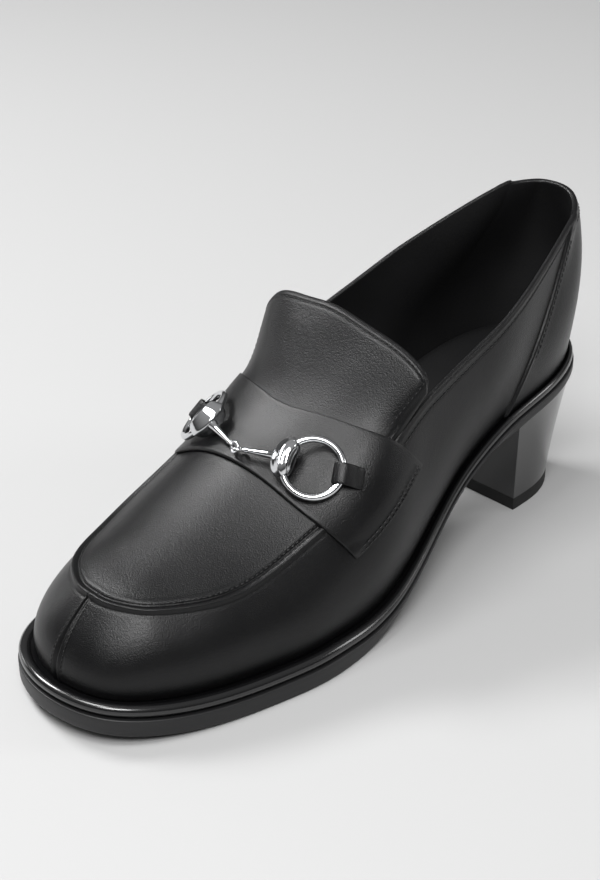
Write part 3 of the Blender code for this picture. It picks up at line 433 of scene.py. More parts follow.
def on_curves(handles, shares):
    """Points at shares of each curve's length: handles (n, 4, 3), shares (n, m) give (n, m, 3)."""
    t = np.linspace(0, 1, 161)
    weight = np.stack([(1 - t) ** 3, 3 * t * (1 - t) ** 2, 3 * t * t * (1 - t), t ** 3])
    curve = np.einsum("kt,nkd->ntd", weight, handles)
    run = np.linalg.norm(np.diff(curve, axis=1), axis=2)
    run = np.concatenate([np.zeros((len(run), 1)), np.cumsum(run, axis=1)], axis=1)
    points = np.empty(shares.shape + (3,))
    for i, share in enumerate(shares):
        for axis in range(3):
            points[i, :, axis] = np.interp(share * run[i, -1], run[i], curve[i, :, axis])
    return points, run[:, -1]


# Where the seams stand; the plug ends and the tongue begins at a share of LENGTH on the crest
BACK_SEAM_AT = 0.765
THROAT_AT = 0.425
BINDING_WIDTH = 3.6        # rolled binding along the topline and the tongue's edge


def q_where(column, value):
    """Loop parameter on the lateral side where a column of the sections reaches the value."""
    q = np.linspace(0, 1, 801)
    return float(np.interp(value, section(q)[column], q))


def skin(q, up):
    """Points of the last's skin: up runs from -1 at the feather line by 0 at the edge to 1 at the crest."""
    q = np.atleast_1d(np.asarray(q, float))
    up = np.atleast_1d(np.asarray(up, float))
    wall = on_curves(wall_handles(q), np.clip(1 + up, 0, 1)[:, None])[0][:, 0]
    plug = on_curves(plug_handles(q), np.clip(up, 0, 1)[:, None])[0][:, 0]
    return np.where((up < 0)[:, None], wall, plug)


def tongue_arch(shares):
    """Points of the tongue's top edge, from its lateral corner over the top to the medial one."""
    rows = np.array(TONGUE_ARCH)
    x = rows[:, 0] * TONGUE_HALF
    z = TONGUE_CORNER + rows[:, 1] * (TONGUE_TOP - TONGUE_CORNER)
    corners = np.stack([x, z], 1)
    run = run_length(corners)
    points = natural_spline(run / run[-1], corners)(shares)
    return np.stack([points[:, 0], np.full(len(points), TONGUE_AT), points[:, 1]], 1)


def undercut(s):
    """How far the outsole's underside lies in from its edge: only along the waist."""
    flat_end = FLAT_START + FLAT_LENGTH
    breast = LENGTH - SEAT_LENGTH
    begins = smoothstep(flat_end - 10, flat_end + 25, s)
    return OUTSOLE_UNDERCUT * begins * (1 - smoothstep(breast - 16, breast, s))


def skin_frame(at, up):
    """Point of the skin and its outward normal."""
    step = 2e-3
    point = skin(at, up)[0]
    along = skin(at + step, up)[0] - skin(at - step, up)[0]
    over = skin(at, up + 4 * step)[0] - skin(at, up - 4 * step)[0]
    normal = np.cross(along, over)
    normal *= np.sign(normal[2]) / np.linalg.norm(normal)
    return point, normal


def lifted(place):
    """Point over the skin at (loop parameter, height, lift)."""
    point, normal = skin_frame(place[0], place[1])
    return point + normal * place[2]


def unit(vector):
    """The vector at length 1."""
    return vector / np.linalg.norm(vector)


def unit_rows(vectors):
    """Each of the vectors at length 1."""
    return vectors / np.linalg.norm(vectors, axis=-1, keepdims=True)


def full_turn(count):
    """Angles all round, in equal steps."""
    return np.linspace(0, 2 * np.pi, count, endpoint=False)


def circle(centre, first, second, radius, turns):
    """Points at the centre + radius * (cos turn * first + sin turn * second)."""
    return centre + radius * (np.outer(np.cos(turns), first) + np.outer(np.sin(turns), second))


def ring_frame(places):
    """Ring's middle, direction to its barrel, direction along the barrel, and the ring's axis."""
    centre = lifted(places["ring"])
    outward = unit(lifted(places["barrel"]) - centre)
    normal = skin_frame(*places["ring"][:2])[1]
    beside = unit(np.cross(normal, outward))
    return centre, outward, beside, np.cross(outward, beside)


# Mesh making

class Sheet:
    """Points, quads and material numbers of one piece, in the shoe's frame."""

    def __init__(self):
        self.points = np.zeros((0, 3))
        self.faces = []
        self.kinds = []

    def add(self, points):
        """Takes in a grid of points and gives their numbers, in the grid's shape."""
        points = np.asarray(points, float)
        index = len(self.points) + np.arange(points.size // 3).reshape(points.shape[:-1])
        self.points = np.vstack([self.points, points.reshape(-1, 3)])
        return index

    def grid(self, index, wrap=False, kind=0, flip=False):
        """Adds the quads between neighbours in a grid of point numbers."""
        if wrap:
            index = np.vstack([index, index[:1]])
        corners = index[:-1, :-1], index[1:, :-1], index[1:, 1:], index[:-1, 1:]
        quads = np.stack(corners, -1).reshape(-1, 4)
        self.faces.append(quads[:, ::-1] if flip else quads)
        self.kinds.append(np.full(len(quads), kind))

    def fan(self, row, point):
        """Closes a tube's end: faces from its last row of point numbers to one point."""
        tip = self.add(point[None])[0]
        self.grid(np.stack([np.append(row, row[0]), np.full(len(row) + 1, tip)], 1))

    def make(self, name, materials, slot, replaces=()):
        """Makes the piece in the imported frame; corners that share a point leave triangles or no face."""
        quads = np.vstack(self.faces)
        kinds = np.concatenate(self.kinds)
        points = self.points.copy()
        points[:, 0] -= MIDDLE_X
        points[:, 1] -= MIDDLE_S
        faces, keep = [], []
        for quad, kind in zip(quads.tolist(), kinds.tolist()):
            ring = [v for k, v in enumerate(quad) if v != quad[k - 1]]
            if len(set(ring)) > 2:
                faces.append(ring)
                keep.append(kind)
        data = bpy.data.meshes.new(name)
        data.from_pydata((points * MM).tolist(), [], faces)
        data.polygons.foreach_set("material_index", keep)
        data.shade_smooth()
        data.validate()
        for material in materials:
            data.materials.append(material)
        piece = bpy.data.objects.new(name, data)
        bpy.context.scene.collection.objects.link(piece)
        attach(piece, "root")
        if replaces:
            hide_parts(*replaces)
        return piece


def grid_normals(points, wrap=False):
    """Normals of a grid of points, by the cross product of its two directions."""
    if wrap:
        along = np.roll(points, -1, axis=0) - np.roll(points, 1, axis=0)
    else:
        along = np.gradient(points, axis=0)
    over = np.gradient(points, axis=1)
    normal = np.cross(along, over)
    size = np.linalg.norm(normal, axis=2, keepdims=True)
    return normal / np.maximum(size, 1e-9)


def fold(q):
    """Loop parameter on the lateral side that lies as far down as q."""
    return np.minimum(q, 2 - q)


def stations(coarse, places):
    """Loop parameters from toe to heel, coarse apart in mm, and fine round the given places."""
    q = list(np.arange(0, SIDE_RUN, coarse) / SIDE_RUN) + [1.0]
    least = 0.12
    for place, reach, fine in places:
        q += list(place + np.arange(-reach, reach + fine, fine) / SIDE_RUN)
    q = np.unique(np.round(np.clip(q, 0, 1), 6))
    keep = [q[0]]
    for value in q[1:]:
        if (value - keep[-1]) * SIDE_RUN > least:
            keep.append(value)
    keep[-1] = 1.0
    return np.array(keep)


def around(side):
    """Loop parameters down the lateral side and back up the medial one."""
    return np.concatenate([side, 2 - side[-2:0:-1]])


def bump(distance, middle, width):
    """Bell curve of height 1: e to the power of minus the square of (distance - middle) / width."""
    return np.exp(-((distance - middle) / width) ** 2)


def plan_middle():
    """How far the shoe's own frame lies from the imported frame's origin, in mm."""
    q = np.linspace(0, 2, 2001)
    x, s, _ = outline(q, 0.0)
    low = np.array(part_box("outsole")[0]) / MM
    return x.min() - low[0], s.min() - low[1]


MIDDLE_X, MIDDLE_S = plan_middle()


# Reliefs of the upper's skin, in mm outwards

# Ridges and grooves beside a seam: height, distance of the middle and width, all in mm
RIDGE_COLUMNS = ("high", "middle", "width")
SEAM_RIDGE = 1.10, 0.9, 0.80           # rolled seam round the plug, on the wall
SEAM_GROOVE = -0.14, 2.4, 0.60
PLUG_RIDGE = 1.15, -1.0, 0.85          # the same seam on the plug
PLUG_GROOVE = -0.55, 0.75, 0.55
PLUG_SWELL = 0.12, 2.2, 0.90
BINDING_RIDGE = 0.30, 0.9, 1.10        # along the topline
BINDING_GROOVE = -0.16, BINDING_WIDTH, 0.35
TOE_RIDGE = 0.62, 1.5, 0.75            # each side of the toe's split seam
TOE_SPLIT = -0.55, 0.0, 0.50
BACK_GROOVE = -0.30, -0.35, 0.45       # beside the back panel's edge
BACK_RIDGE = 0.12, 1.2, 0.80
BACK_EDGE = 0.7                        # width of the panel's step
TONGUE_RIDGE = 0.10, 0.7, 0.70         # along the tongue's edge
TONGUE_GROOVE = -0.16, 2.0, 0.35
TONGUE_SWELL = 0.35, 0.66, 0.10        # up the tongue, with places as shares of its width
TONGUE_FOLD = -0.30, 0.42, 0.12
SEAM_ENDS = 0.368, 0.386               # the plug's seam runs out between these shares of LENGTH
BINDING_BEGINS = 0.47, 0.50
ROUND_EDGE = np.radians((30, 60, 90, 120, 150))

CREASE_COLUMNS = ("side", "at", "up", "along", "across", "deep")
CREASES = (
    (1, 0.56, -0.28, 9.0, 0.16, -0.35),
    (1, 0.62, -0.38, 12.0, 0.20, 0.30),
    (-1, 0.58, -0.30, 10.0, 0.16, -0.35),
    (1, 0.24, 0.55, 14.0, 0.35, -0.25),
    (-1, 0.30, 0.50, 12.0, 0.30, 0.20),
)


def ridge(distance, shape):
    """Height of a ridge or groove at a distance: its height times a bell curve."""
    high, middle, width = shape
    return high * bump(distance, middle, width)


def wall_relief(q, edge_gap, up):
    """Seams and steps of the wall: q per column, distance to the edge and height for each point."""
    edge_at = section(q)["edge_at"]
    seam = (1 - smoothstep(*SEAM_ENDS, edge_at))[:, None]
    free = smoothstep(*BINDING_BEGINS, edge_at)[:, None]
    relief = seam * (ridge(edge_gap, SEAM_RIDGE) + ridge(edge_gap, SEAM_GROOVE))
    relief += free * (ridge(edge_gap, BINDING_RIDGE) + ridge(edge_gap, BINDING_GROOVE))
    toe = (fold(q) * SIDE_RUN)[:, None]
    relief += smoothstep(0.4, 3.0, edge_gap) * (ridge(toe, TOE_RIDGE) + ridge(toe, TOE_SPLIT))
    back = ((fold(q) - q_where("at", BACK_SEAM_AT)) * SIDE_RUN)[:, None]
    skived = BACK_PANEL_SKIVED + (1 - BACK_PANEL_SKIVED) * smoothstep(0.0, 4.0, edge_gap)
    relief += skived * (BACK_PANEL_STEP * smoothstep(0.0, BACK_EDGE, back) + ridge(back, BACK_GROOVE))
    relief += ridge(back, BACK_RIDGE)
    return relief + creases(q, up)


def creases(q, up):
    """Soft folds and swells of the leather, one for each row of the table."""
    side = np.where(q <= 1, 1, -1)[:, None]
    total = 0.0
    for which, at, height, along, across, deep in CREASES:
        near = bump((fold(q)[:, None] - at) * SIDE_RUN, 0.0, along) * bump(up, height, across)
        total = total + deep * near * (side == which)
    return total


def plug_relief(q, edge_gap):
    """The rolled seam on the plug, by the distance to the edge."""
    seam = (1 - smoothstep(*SEAM_ENDS, section(q)["edge_at"]))[:, None]
    return seam * (ridge(edge_gap, PLUG_RIDGE) + ridge(edge_gap, PLUG_GROOVE) + ridge(edge_gap, PLUG_SWELL))


# Mesh of the upper: steps between its points in mm
UPPER_STEP = 1.25          # along the shoe
UPPER_FINE = 0.3           # across the seams at toe and back
EDGE_STEP = 0.4            # near the rolled seam and the topline
EDGE_BAND = 5.2            # so far below them on the wall
PLUG_BAND = 4.4            # and so far above the seam on the plug
WALL_ROWS = 56
PLUG_ROWS = 34


def make_upper():
    """Wall round the foot and plug on top: dense grids on the skin, with their reliefs, and a lining."""
    seam_q = q_where("at", BACK_SEAM_AT)
    side = stations(UPPER_STEP, ((0.0, 5.0, UPPER_FINE), (seam_q, 3.0, UPPER_FINE)))
    q = around(side)
    handles = wall_handles(q)
    length = on_curves(handles, np.zeros((len(q), 1)))[1]
    near = np.arange(-EDGE_BAND, -0.01, EDGE_STEP)
    low = np.linspace(0, 1, WALL_ROWS) * (1 - (EDGE_BAND + EDGE_STEP) / length)[:, None]
    rows = np.column_stack([low, 1 + near / length[:, None], np.ones(len(q))])
    wall = on_curves(handles, rows)[0]
    wall_gap = (1 - rows) * length[:, None]
    throat = q_where("crest_at", THROAT_AT)
    lateral = np.nonzero(q <= throat)[0]
    medial = np.nonzero(q >= 2 - throat)[0]
    front = np.concatenate([medial, lateral])
    plug_handle = plug_handles(q[front])
    reach = on_curves(plug_handle, np.zeros((len(front), 1)))[1]
    fine = np.arange(0.0, PLUG_BAND + 0.01, EDGE_STEP)
    high = fine[-1] / reach
    rest = high[:, None] + np.linspace(0, 1, PLUG_ROWS)[1:] * (1 - high)[:, None]
    share = np.column_stack([fine / reach[:, None], rest])
    plug = on_curves(plug_handle, share)[0]
    plug_gap = share * reach[:, None]

    # Wall and plug share their normals along the edge, and the plug's halves along the crest
    wall_normal = grid_normals(wall, wrap=True)
    plug_normal = grid_normals(plug)
    shared = unit_rows(wall_normal[front, -1] + plug_normal[:, 0])
    wall_normal[front, -1] = shared
    plug_normal[:, 0] = shared
    plug_normal[:, -1] = plug_normal[:, -2]
    count = len(medial)
    both = unit_rows(plug_normal[count + 1:, -2] + plug_normal[:count, -2][::-1])
    plug_normal[count + 1:, -1] = both
    plug_normal[:count, -1] = both[::-1]

    wall_out = wall + wall_normal * wall_relief(q, wall_gap, rows - 1)[:, :, None]
    plug_out = plug + plug_normal * plug_relief(q[front], plug_gap)[:, :, None]
    sheet = Sheet()
    a = sheet.add(wall_out)
    b = sheet.add(plug_out[:, 1:])
    b[:count, -1] = b[count + 1:, -1][::-1]
    joined = np.column_stack([a[front, -1], b])
    sheet.grid(a, wrap=True)
    sheet.grid(joined)

    # Lining inside, then the rolled rim of the topline and the edges underneath and at the throat
    deep = WALL - 0.1
    skin_wall = wall - wall_normal * deep
    skin_plug = plug - plug_normal * deep
    c = sheet.add(skin_wall)
    d = sheet.add(skin_plug[:, 1:])
    d[:count, -1] = d[count + 1:, -1][::-1]
    sheet.grid(c, wrap=True, kind=1, flip=True)
    sheet.grid(np.column_stack([c[front, -1], d]), kind=1, flip=True)
    behind = np.arange(lateral[-1], medial[0] + 1)
    crown = 0.5 * (wall_out[behind, -1] + skin_wall[behind, -1])
    rise = unit_rows(wall[behind, -1] - wall[behind, -3])
    across = 0.5 * (wall_out[behind, -1] - skin_wall[behind, -1])
    rim = [a[behind, -1]]
    for turn in ROUND_EDGE:
        rim.append(sheet.add(crown + across * np.cos(turn) + rise * 0.75 * np.sin(turn)))
    rim.append(c[behind, -1])
    sheet.grid(np.stack(rim, 1))
    sheet.grid(np.stack([c[:, 0], a[:, 0]], 1), wrap=True)
    for end, flip in ((0, False), (-1, True)):
        ends = np.stack([joined[end], np.concatenate([[c[front[end], -1]], d[end]])])
        sheet.grid(ends.T, flip=flip)
    return sheet


def sheet_shell(points, lift, thick, rim):
    """Closed leather sheet over a grid: lifted, with rounded edges all round, as points and faces."""
    normal = grid_normals(points)
    sheet = Sheet()
    outer = points + normal * (lift + thick)[..., None]
    inner = points + normal * np.broadcast_to(lift, thick.shape)[..., None]
    a, b = sheet.add(outer), sheet.add(inner)
    sheet.grid(a)
    sheet.grid(b, kind=1, flip=True)
    border = np.concatenate([a[0, :-1], a[:-1, -1], a[-1, :0:-1], a[:0:-1, 0]])
    under = np.concatenate([b[0, :-1], b[:-1, -1], b[-1, :0:-1], b[:0:-1, 0]])
    top, low = sheet.points[border], sheet.points[under]
    centre = points.reshape(-1, 3).mean(0)
    ring = 0.5 * (top + low)
    along = unit_rows(np.roll(ring, -1, axis=0) - np.roll(ring, 1, axis=0))
    out = np.cross(along, unit_rows(top - low + 1e-9))
    sign = np.sign(np.sum(out * (ring - centre), 1).sum())
    out *= sign
    rows = [border]
    half = 0.5 * (top - low)
    size = np.linalg.norm(half, axis=1)[:, None]
    for turn in ROUND_EDGE:
        rows.append(sheet.add(ring + half * np.cos(turn) + out * size * rim * 2 * np.sin(turn)))
    rows.append(under)
    sheet.grid(np.stack(rows, 1), wrap=True, flip=sign > 0)
    return sheet


def tongue_grid(across=61, rise=60):
    """Tongue's outer face: plug columns up to the strap's rear edge, then a free rise to its arch."""
    start = q_where("crest_at", THROAT_AT) + 2.2 * GAP / SIDE_RUN
    reach = on_curves(plug_handles(np.array([start])), np.zeros((1, 1)))[1][0]
    half = TONGUE_SIDE / reach + np.linspace(0, 1, across) * (1 - TONGUE_SIDE / reach)
    rows = []
    for share in (0.0, 0.2, 0.4, 0.6, 0.8, 0.9, 1.0):
        row = []
        for medial in (False, True):
            rear = smooth_edge("rear", half, medial)
            q = start + (rear - start) * share
            row.append(skin(2 - q if medial else q, half))
        rows.append(np.vstack([row[0], row[1][-2::-1]]))
    base = rows[-1]
    heading = unit_rows(rows[-1] - rows[-3])
    weight = np.hanning(9) / np.hanning(9).sum()
    for axis in range(3):
        heading[4:-4, axis] = np.convolve(heading[:, axis], weight, mode="valid")
    run = run_length(base)
    top = tongue_arch(run / run[-1])
    chord = top - base
    heading = heading * np.linalg.norm(chord, axis=1)[:, None]
    # Cubic curve from base to top that starts along the heading and ends along the chord
    for t in np.linspace(0, 1, rise + 1)[1:]:
        point = base + (top - base) * (3 * t * t - 2 * t ** 3)
        rows.append(point + heading * (t - 2 * t * t + t ** 3) + chord * (t ** 3 - t * t))
    return np.array(rows)


STRAP_EVENED = 9           # points each way over which the strap's bends are evened


def strap_grid(back=36, down=26, over=46):
    """Skin under the strap: heights from one sewn end over the crest to the other, front to rear."""
    halves = []
    share = np.linspace(0, 1, back)
    for medial in (False, True):
        ends = STRAP_END_MEDIAL if medial else STRAP_END_LATERAL
        end = ends[0] + (ends[1] - ends[0]) * share
        low = end[:, None] * (1 - np.linspace(0, 1, down, endpoint=False))
        up = np.column_stack([low, np.tile(np.linspace(0, 1, over) ** 1.1, (back, 1))])
        front = smooth_edge("front", up, medial)
        rear = smooth_edge("rear", up, medial)
        q = front + (rear - front) * share[:, None]
        halves.append(skin((2 - q if medial else q).ravel(), up.ravel()).reshape(up.shape + (3,)))
    sewn = np.concatenate([np.linspace(-1, 0, down, endpoint=False), np.linspace(0, 1, over)])
    grid = np.concatenate([halves[0], halves[1][:, -2::-1]], axis=1)
    return ironed(ironed(grid, STRAP_EVENED), STRAP_EVENED), np.concatenate([sewn, sewn[-2::-1]]), share


def ironed(grid, reach):
    """Evens the grid's bends across it, except at its two ends."""
    place = np.arange(grid.shape[1])
    weight = np.hanning(2 * reach + 3)[1:-1]
    even = np.zeros_like(grid)
    for step, share in zip(range(-reach, reach + 1), weight / weight.sum()):
        even += share * grid[:, np.clip(place + step, 0, place[-1])]
    keep = smoothstep(reach // 2, 2 * reach, np.minimum(place, place[-1] - place))[None, :, None]
    return grid + (even - grid) * keep


def smooth_edge(column, up, medial):
    """The strap's edge as a smooth curve through the rows of its table."""
    rows = np.array(STRAP_MEDIAL if medial else STRAP_LATERAL)
    line = natural_spline(rows[:, 0], rows[:, STRAP_COLUMNS.index(column)])
    return line(np.ravel(up))[:, 0].reshape(np.shape(up))


STRAP_LIFT = 0.25          # clearance to the skin, and thickness of its sewn ends
STRAP_FRONT_WALL = 1.15    # least thickness of its front edge
STRAP_REAR_THIN = 0.45, 0.35    # share that the rear edge is thinner, and more of it at the sides


def make_strap():
    """Saddle strap: thin where it is sewn and at its rear edge, full in the middle."""
    grid, sewn, share = strap_grid()
    full = smoothstep(-1.0, -0.45, sewn)[None, :]
    thick = STRAP_LIFT + (STRAP_WALL - STRAP_LIFT) * full
    front = 1 - smoothstep(0.0, 0.28, share)[:, None]
    thick = np.maximum(thick, STRAP_FRONT_WALL * front * smoothstep(-1.06, -0.85, sewn)[None, :])
    side = smoothstep(-0.35, 0.25, sewn)[None, :]
    thin, thinner = STRAP_REAR_THIN
    thick = thick * (1 - (thin + thinner * (1 - side)) * share[:, None] ** 3)
    return sheet_shell(grid, np.full(grid.shape[:2], STRAP_LIFT), thick, rim=0.35)


def make_tongue():
    """Tongue with a stitched groove along its edge and two soft folds that run up it."""
    grid = tongue_grid()
    rows, columns = grid.shape[:2]
    gap_top = np.zeros((rows, columns))
    gap_top[:-1] = np.cumsum(np.linalg.norm(grid[1:] - grid[:-1], axis=2)[::-1], axis=0)[::-1]
    step = np.linalg.norm(grid[:, 1:] - grid[:, :-1], axis=2)
    left = np.column_stack([np.zeros(rows), np.cumsum(step, axis=1)])
    right = left[:, -1:] - left
    edge = np.minimum(np.minimum(gap_top, left), right)
    relief = ridge(edge, TONGUE_RIDGE) + ridge(edge, TONGUE_GROOVE)
    relief -= 0.45 * smoothstep(0.8, 0.0, edge)
    across = left / left[:, -1:]
    folds = ridge(across, TONGUE_SWELL) + ridge(across, TONGUE_FOLD)
    relief += folds * smoothstep(6, 20, gap_top.max() - gap_top) * smoothstep(0, 12, gap_top)
    thick = np.full((rows, columns), TONGUE_WALL) + relief
    return sheet_shell(grid, np.full((rows, columns), -TONGUE_WALL), thick, rim=0.5)


def loops_solid(loops, front=True):
    """Closed solid through loops of points, with ladders of faces over its two ends."""
    sheet = Sheet()
    index = sheet.add(np.array(loops))
    sheet.grid(index.T, wrap=True)
    count = index.shape[1]
    for loop, flip in ((index[0], False), (index[-1], True)):
        rows = (count + 1) // 2 - (0 if front else 1)
        other = [(count - j) % count if front else count - 1 - j for j in range(rows + 1)]
        ladder = np.stack([loop[:rows + 1] if rows < count else loop, loop[other]], 1)
        sheet.grid(ladder, flip=not flip)
    return sheet


def ring_at(q, inset, height):
    """Row of points round the outline, moved in by the inset, at the height for each s."""
    x, s, _ = outline(q, inset)
    return np.stack([x, s, height(s)], 1)


def make_outsole():
    """Outsole as rows round it: underside, lower edge, side and upper edge."""
    q = around(stations(2.2, ((0.0, 6.0, 1.0),)))
    under = undercut(section(q)["at"] * LENGTH)
    top = lambda s: bottom(s) + outsole_wall(s)
    edge = OUTSOLE_EDGE
    loops = [ring_at(q, edge + under + 3.0, bottom)]
    for turn in np.radians((0, 30, 60, 90)):
        inset = edge * (1 - np.sin(turn)) + under
        loops.append(ring_at(q, inset, lambda s, turn=turn: bottom(s) + edge * (1 - np.cos(turn))))
    side = lambda s, share: bottom(s) + edge + (outsole_wall(s) - 2 * edge) * share
    for share in (0.35, 0.7):
        loops.append(ring_at(q, under * (1 - share), lambda s, share=share: side(s, share)))
    for turn in np.radians((0, 30, 60, 90)):
        inset = 0.7 * edge * (1 - np.cos(turn))
        loops.append(ring_at(q, inset, lambda s, turn=turn: top(s) - 0.7 * edge * (1 - np.sin(turn))))
    return loops_solid(loops)


def make_welt():
    """Rounded bead all round: rows from its floor over the round side in to the upper's bed."""
    q = around(stations(2.2, ((0.0, 6.0, 1.0),)))
    here = section(q)
    height = welt_height(here["at"] * LENGTH)
    half = 0.5 * np.minimum(height, here["ledge"] - WELT_INSET - BACK_PANEL_STEP - GAP)
    loops = []
    for degrees in (-90, -70, -50, -30, -10, 10, 30, 50, 70, 90, 115, 135, 150):
        turn = np.radians(degrees)
        inset = WELT_INSET + half * (1 - np.cos(turn))
        share = 0.5 * (1 + np.sin(turn))
        loops.append(ring_at(q, inset, lambda s, share=share: welt_floor(s) + share * welt_height(s)))
    loops.append(ring_at(q, WELT_INSET + 1.95 * half, bed))
    return loops_solid(loops)


def heel_plan():
    """Heel's plan under the seat: x, s and the share of the way from the breast to the back."""
    breast = (LENGTH - SEAT_LENGTH) / LENGTH
    rear = np.linspace(q_where("at", breast), 1, 60)
    q = np.concatenate([rear, 2 - rear[-2::-1]])
    x, s, _ = outline(q, HEEL_INSET)
    return x, s, (s - s[0]) / (s.max() - s[0])


def make_heel():
    """Heel block: rows from the seat to the tip, with sides that curve in between them."""
    x, s, along = heel_plan()
    front = LENGTH - SEAT_LENGTH + TIP_FRONT
    tip_top = np.full(len(s), TIP_HEIGHT + 0.1)
    tip = np.stack([TIP_OFF + TIP_NARROWING * x, front + along * TIP_LENGTH, tip_top], 1)
    seat = np.stack([x, s, bottom(s) - 0.1], 1)
    loops = []
    for share in np.linspace(0, 1, 26):
        bent = share + HEEL_HOLLOW * share * (1 - share)
        loop = seat + (tip - seat) * bent
        loop[:, 2] = seat[:, 2] + (tip[:, 2] - seat[:, 2]) * share
        loops.append(loop)
    return loops_solid(loops, front=False)


def make_heel_tip():
    """Top lift: rows from its underside up, each moved in by an inset at a height."""
    x, s, along = heel_plan()
    front = LENGTH - SEAT_LENGTH + TIP_FRONT
    loops = []
    edges = (TIP_EDGE, 0.0), (0.15, 0.15), (0.0, TIP_EDGE), (0.0, TIP_HEIGHT - 0.3), (0.3, TIP_HEIGHT)
    for inset, z in edges:
        wide = TIP_NARROWING * x * (1 - inset / (TIP_NARROWING * abs(x).max()))
        back = front + inset + along * (TIP_LENGTH - 2 * inset)
        loops.append(np.stack([TIP_OFF + wide, back, np.full(len(s), z)], 1))
    return loops_solid(loops, front=False)


def make_insole():
    """Board that closes the upper's floor, with bevelled edges."""
    q = around(stations(2.5, ()))
    inset = section(q)["ledge"] + WALL + 0.2
    floor = lambda s: bed(s) + GAP
    loops = [
        ring_at(q, inset + 0.4, floor),
        ring_at(q, inset, lambda s: floor(s) + 0.4),
        ring_at(q, inset, lambda s: floor(s) + INSOLE - 0.4),
        ring_at(q, inset + 0.5, lambda s: floor(s) + INSOLE),
        ring_at(q, inset + 3.0, lambda s: floor(s) + INSOLE + 0.1),
    ]
    return loops_solid(loops)


# The bit

def tube_into(sheet, path, radii, axis, sides=20, wrap=False, shape=1.0):
    """Adds a tube along a path; axis is a direction across it, shape its radius round about."""
    path = np.asarray(path, float)
    if wrap:
        along = unit_rows(np.roll(path, -1, axis=0) - np.roll(path, 1, axis=0))
    else:
        along = unit_rows(np.gradient(path, axis=0))
    across = unit_rows(axis - along * (along @ axis)[:, None])
    other = np.cross(along, across)
    turn = full_turn(sides)
    ring = np.cos(turn)[None, :, None] * across[:, None] + np.sin(turn)[None, :, None] * other[:, None]
    ring = ring * np.broadcast_to(shape, (sides,))[None, :, None]
    index = sheet.add(path[:, None] + ring * np.asarray(radii, float)[:, None, None])
    sheet.grid(np.column_stack([index, index[:, :1]]), wrap=wrap)
    if not wrap:
        sheet.fan(index[0], path[0])
        sheet.fan(index[-1], path[-1])


def make_ring(places, sides=96):
    """Ring of round wire."""
    centre, outward, beside, axis = ring_frame(places)
    path = circle(centre, outward, beside, RING_RADIUS, full_turn(sides))
    sheet = Sheet()
    tube_into(sheet, path, np.full(sides, WIRE), axis, wrap=True)
    return sheet


# The barrel on the ring: radius along it, from one end at -1 to the other at 1
SLEEVE_COLUMNS = ("along", "radius")
SLEEVE = (
    (-1.00, 1.45),
    (-0.99, 1.90),
    (-0.94, 2.25),
    (-0.84, 2.75),
    (-0.66, 3.30),
    (-0.40, 3.65),
    (0.00, 3.80),
    (0.40, 3.65),
    (0.66, 3.30),
    (0.84, 2.75),
    (0.94, 2.25),
    (0.99, 1.90),
    (1.00, 1.45),
)
# Lips and faces along the sleeve: degrees round it, rise as a share of its radius, half width
LIP_COLUMNS = ("turn", "rise", "wide")
LIPS = (
    (18, 0.13, 8),
    (52, -0.10, 22),
    (92, 0.10, 14),
    (132, -0.10, 22),
    (164, 0.15, 8),
    (-18, 0.13, 8),
    (-164, 0.15, 8),
)
# The bar from barrel to eye, with its two small collars: share of the way and radius
TAPER_COLUMNS = ("along", "radius")
TAPER = (
    (0.00, 1.90),
    (0.10, 1.75),
    (0.16, 1.30),
    (0.30, 1.20),
    (0.80, 0.72),
    (0.84, 0.70),
    (0.86, 0.95),
    (0.90, 0.95),
    (0.92, 0.62),
    (1.00, 0.55),
)


def make_bar(places):
    """Sleeve on the ring, tapered bar with its small collars, and the eye hooked into the other's."""
    centre, outward, beside, axis = ring_frame(places)
    sheet = Sheet()
    knots = np.linspace(0, 1, len(SLEEVE))
    rows = natural_spline(knots, np.array(SLEEVE))(np.linspace(0, 1, 61))
    turns = np.radians(BARREL_HALF_TURN) * rows[:, 0]
    around_it = np.linspace(0, 360, 72, endpoint=False)
    shape = np.ones(72)
    for turn, rise, wide in LIPS:
        shape += rise * bump((around_it - turn + 180) % 360 - 180, 0, wide)
    path = circle(centre, outward, beside, RING_RADIUS, turns)
    tube_into(sheet, path, rows[:, 1], axis, sides=72, shape=shape)
    barrel = centre + outward * RING_RADIUS
    normal = skin_frame(q_where("crest_at", LINK_AT), 0.999)[1]
    link = crest(LINK_AT)[0] + normal * LINK_LIFT
    way = unit(link - barrel)
    start = barrel + way * BAR_START
    eye = link - way * 0.5 * EYE_RADIUS
    stop = eye - way * EYE_RADIUS
    taper = np.array(TAPER)
    tube_into(sheet, start + taper[:, :1] * (stop - start), taper[:, 1], normal, sides=20)
    level = unit(np.cross(way, normal))
    across = unit(level + np.cross(way, level))
    path = circle(eye, way, across, EYE_RADIUS, full_turn(40))
    tube_into(sheet, path, np.full(40, EYE_WIRE), np.cross(way, across), sides=12, wrap=True)
    return sheet


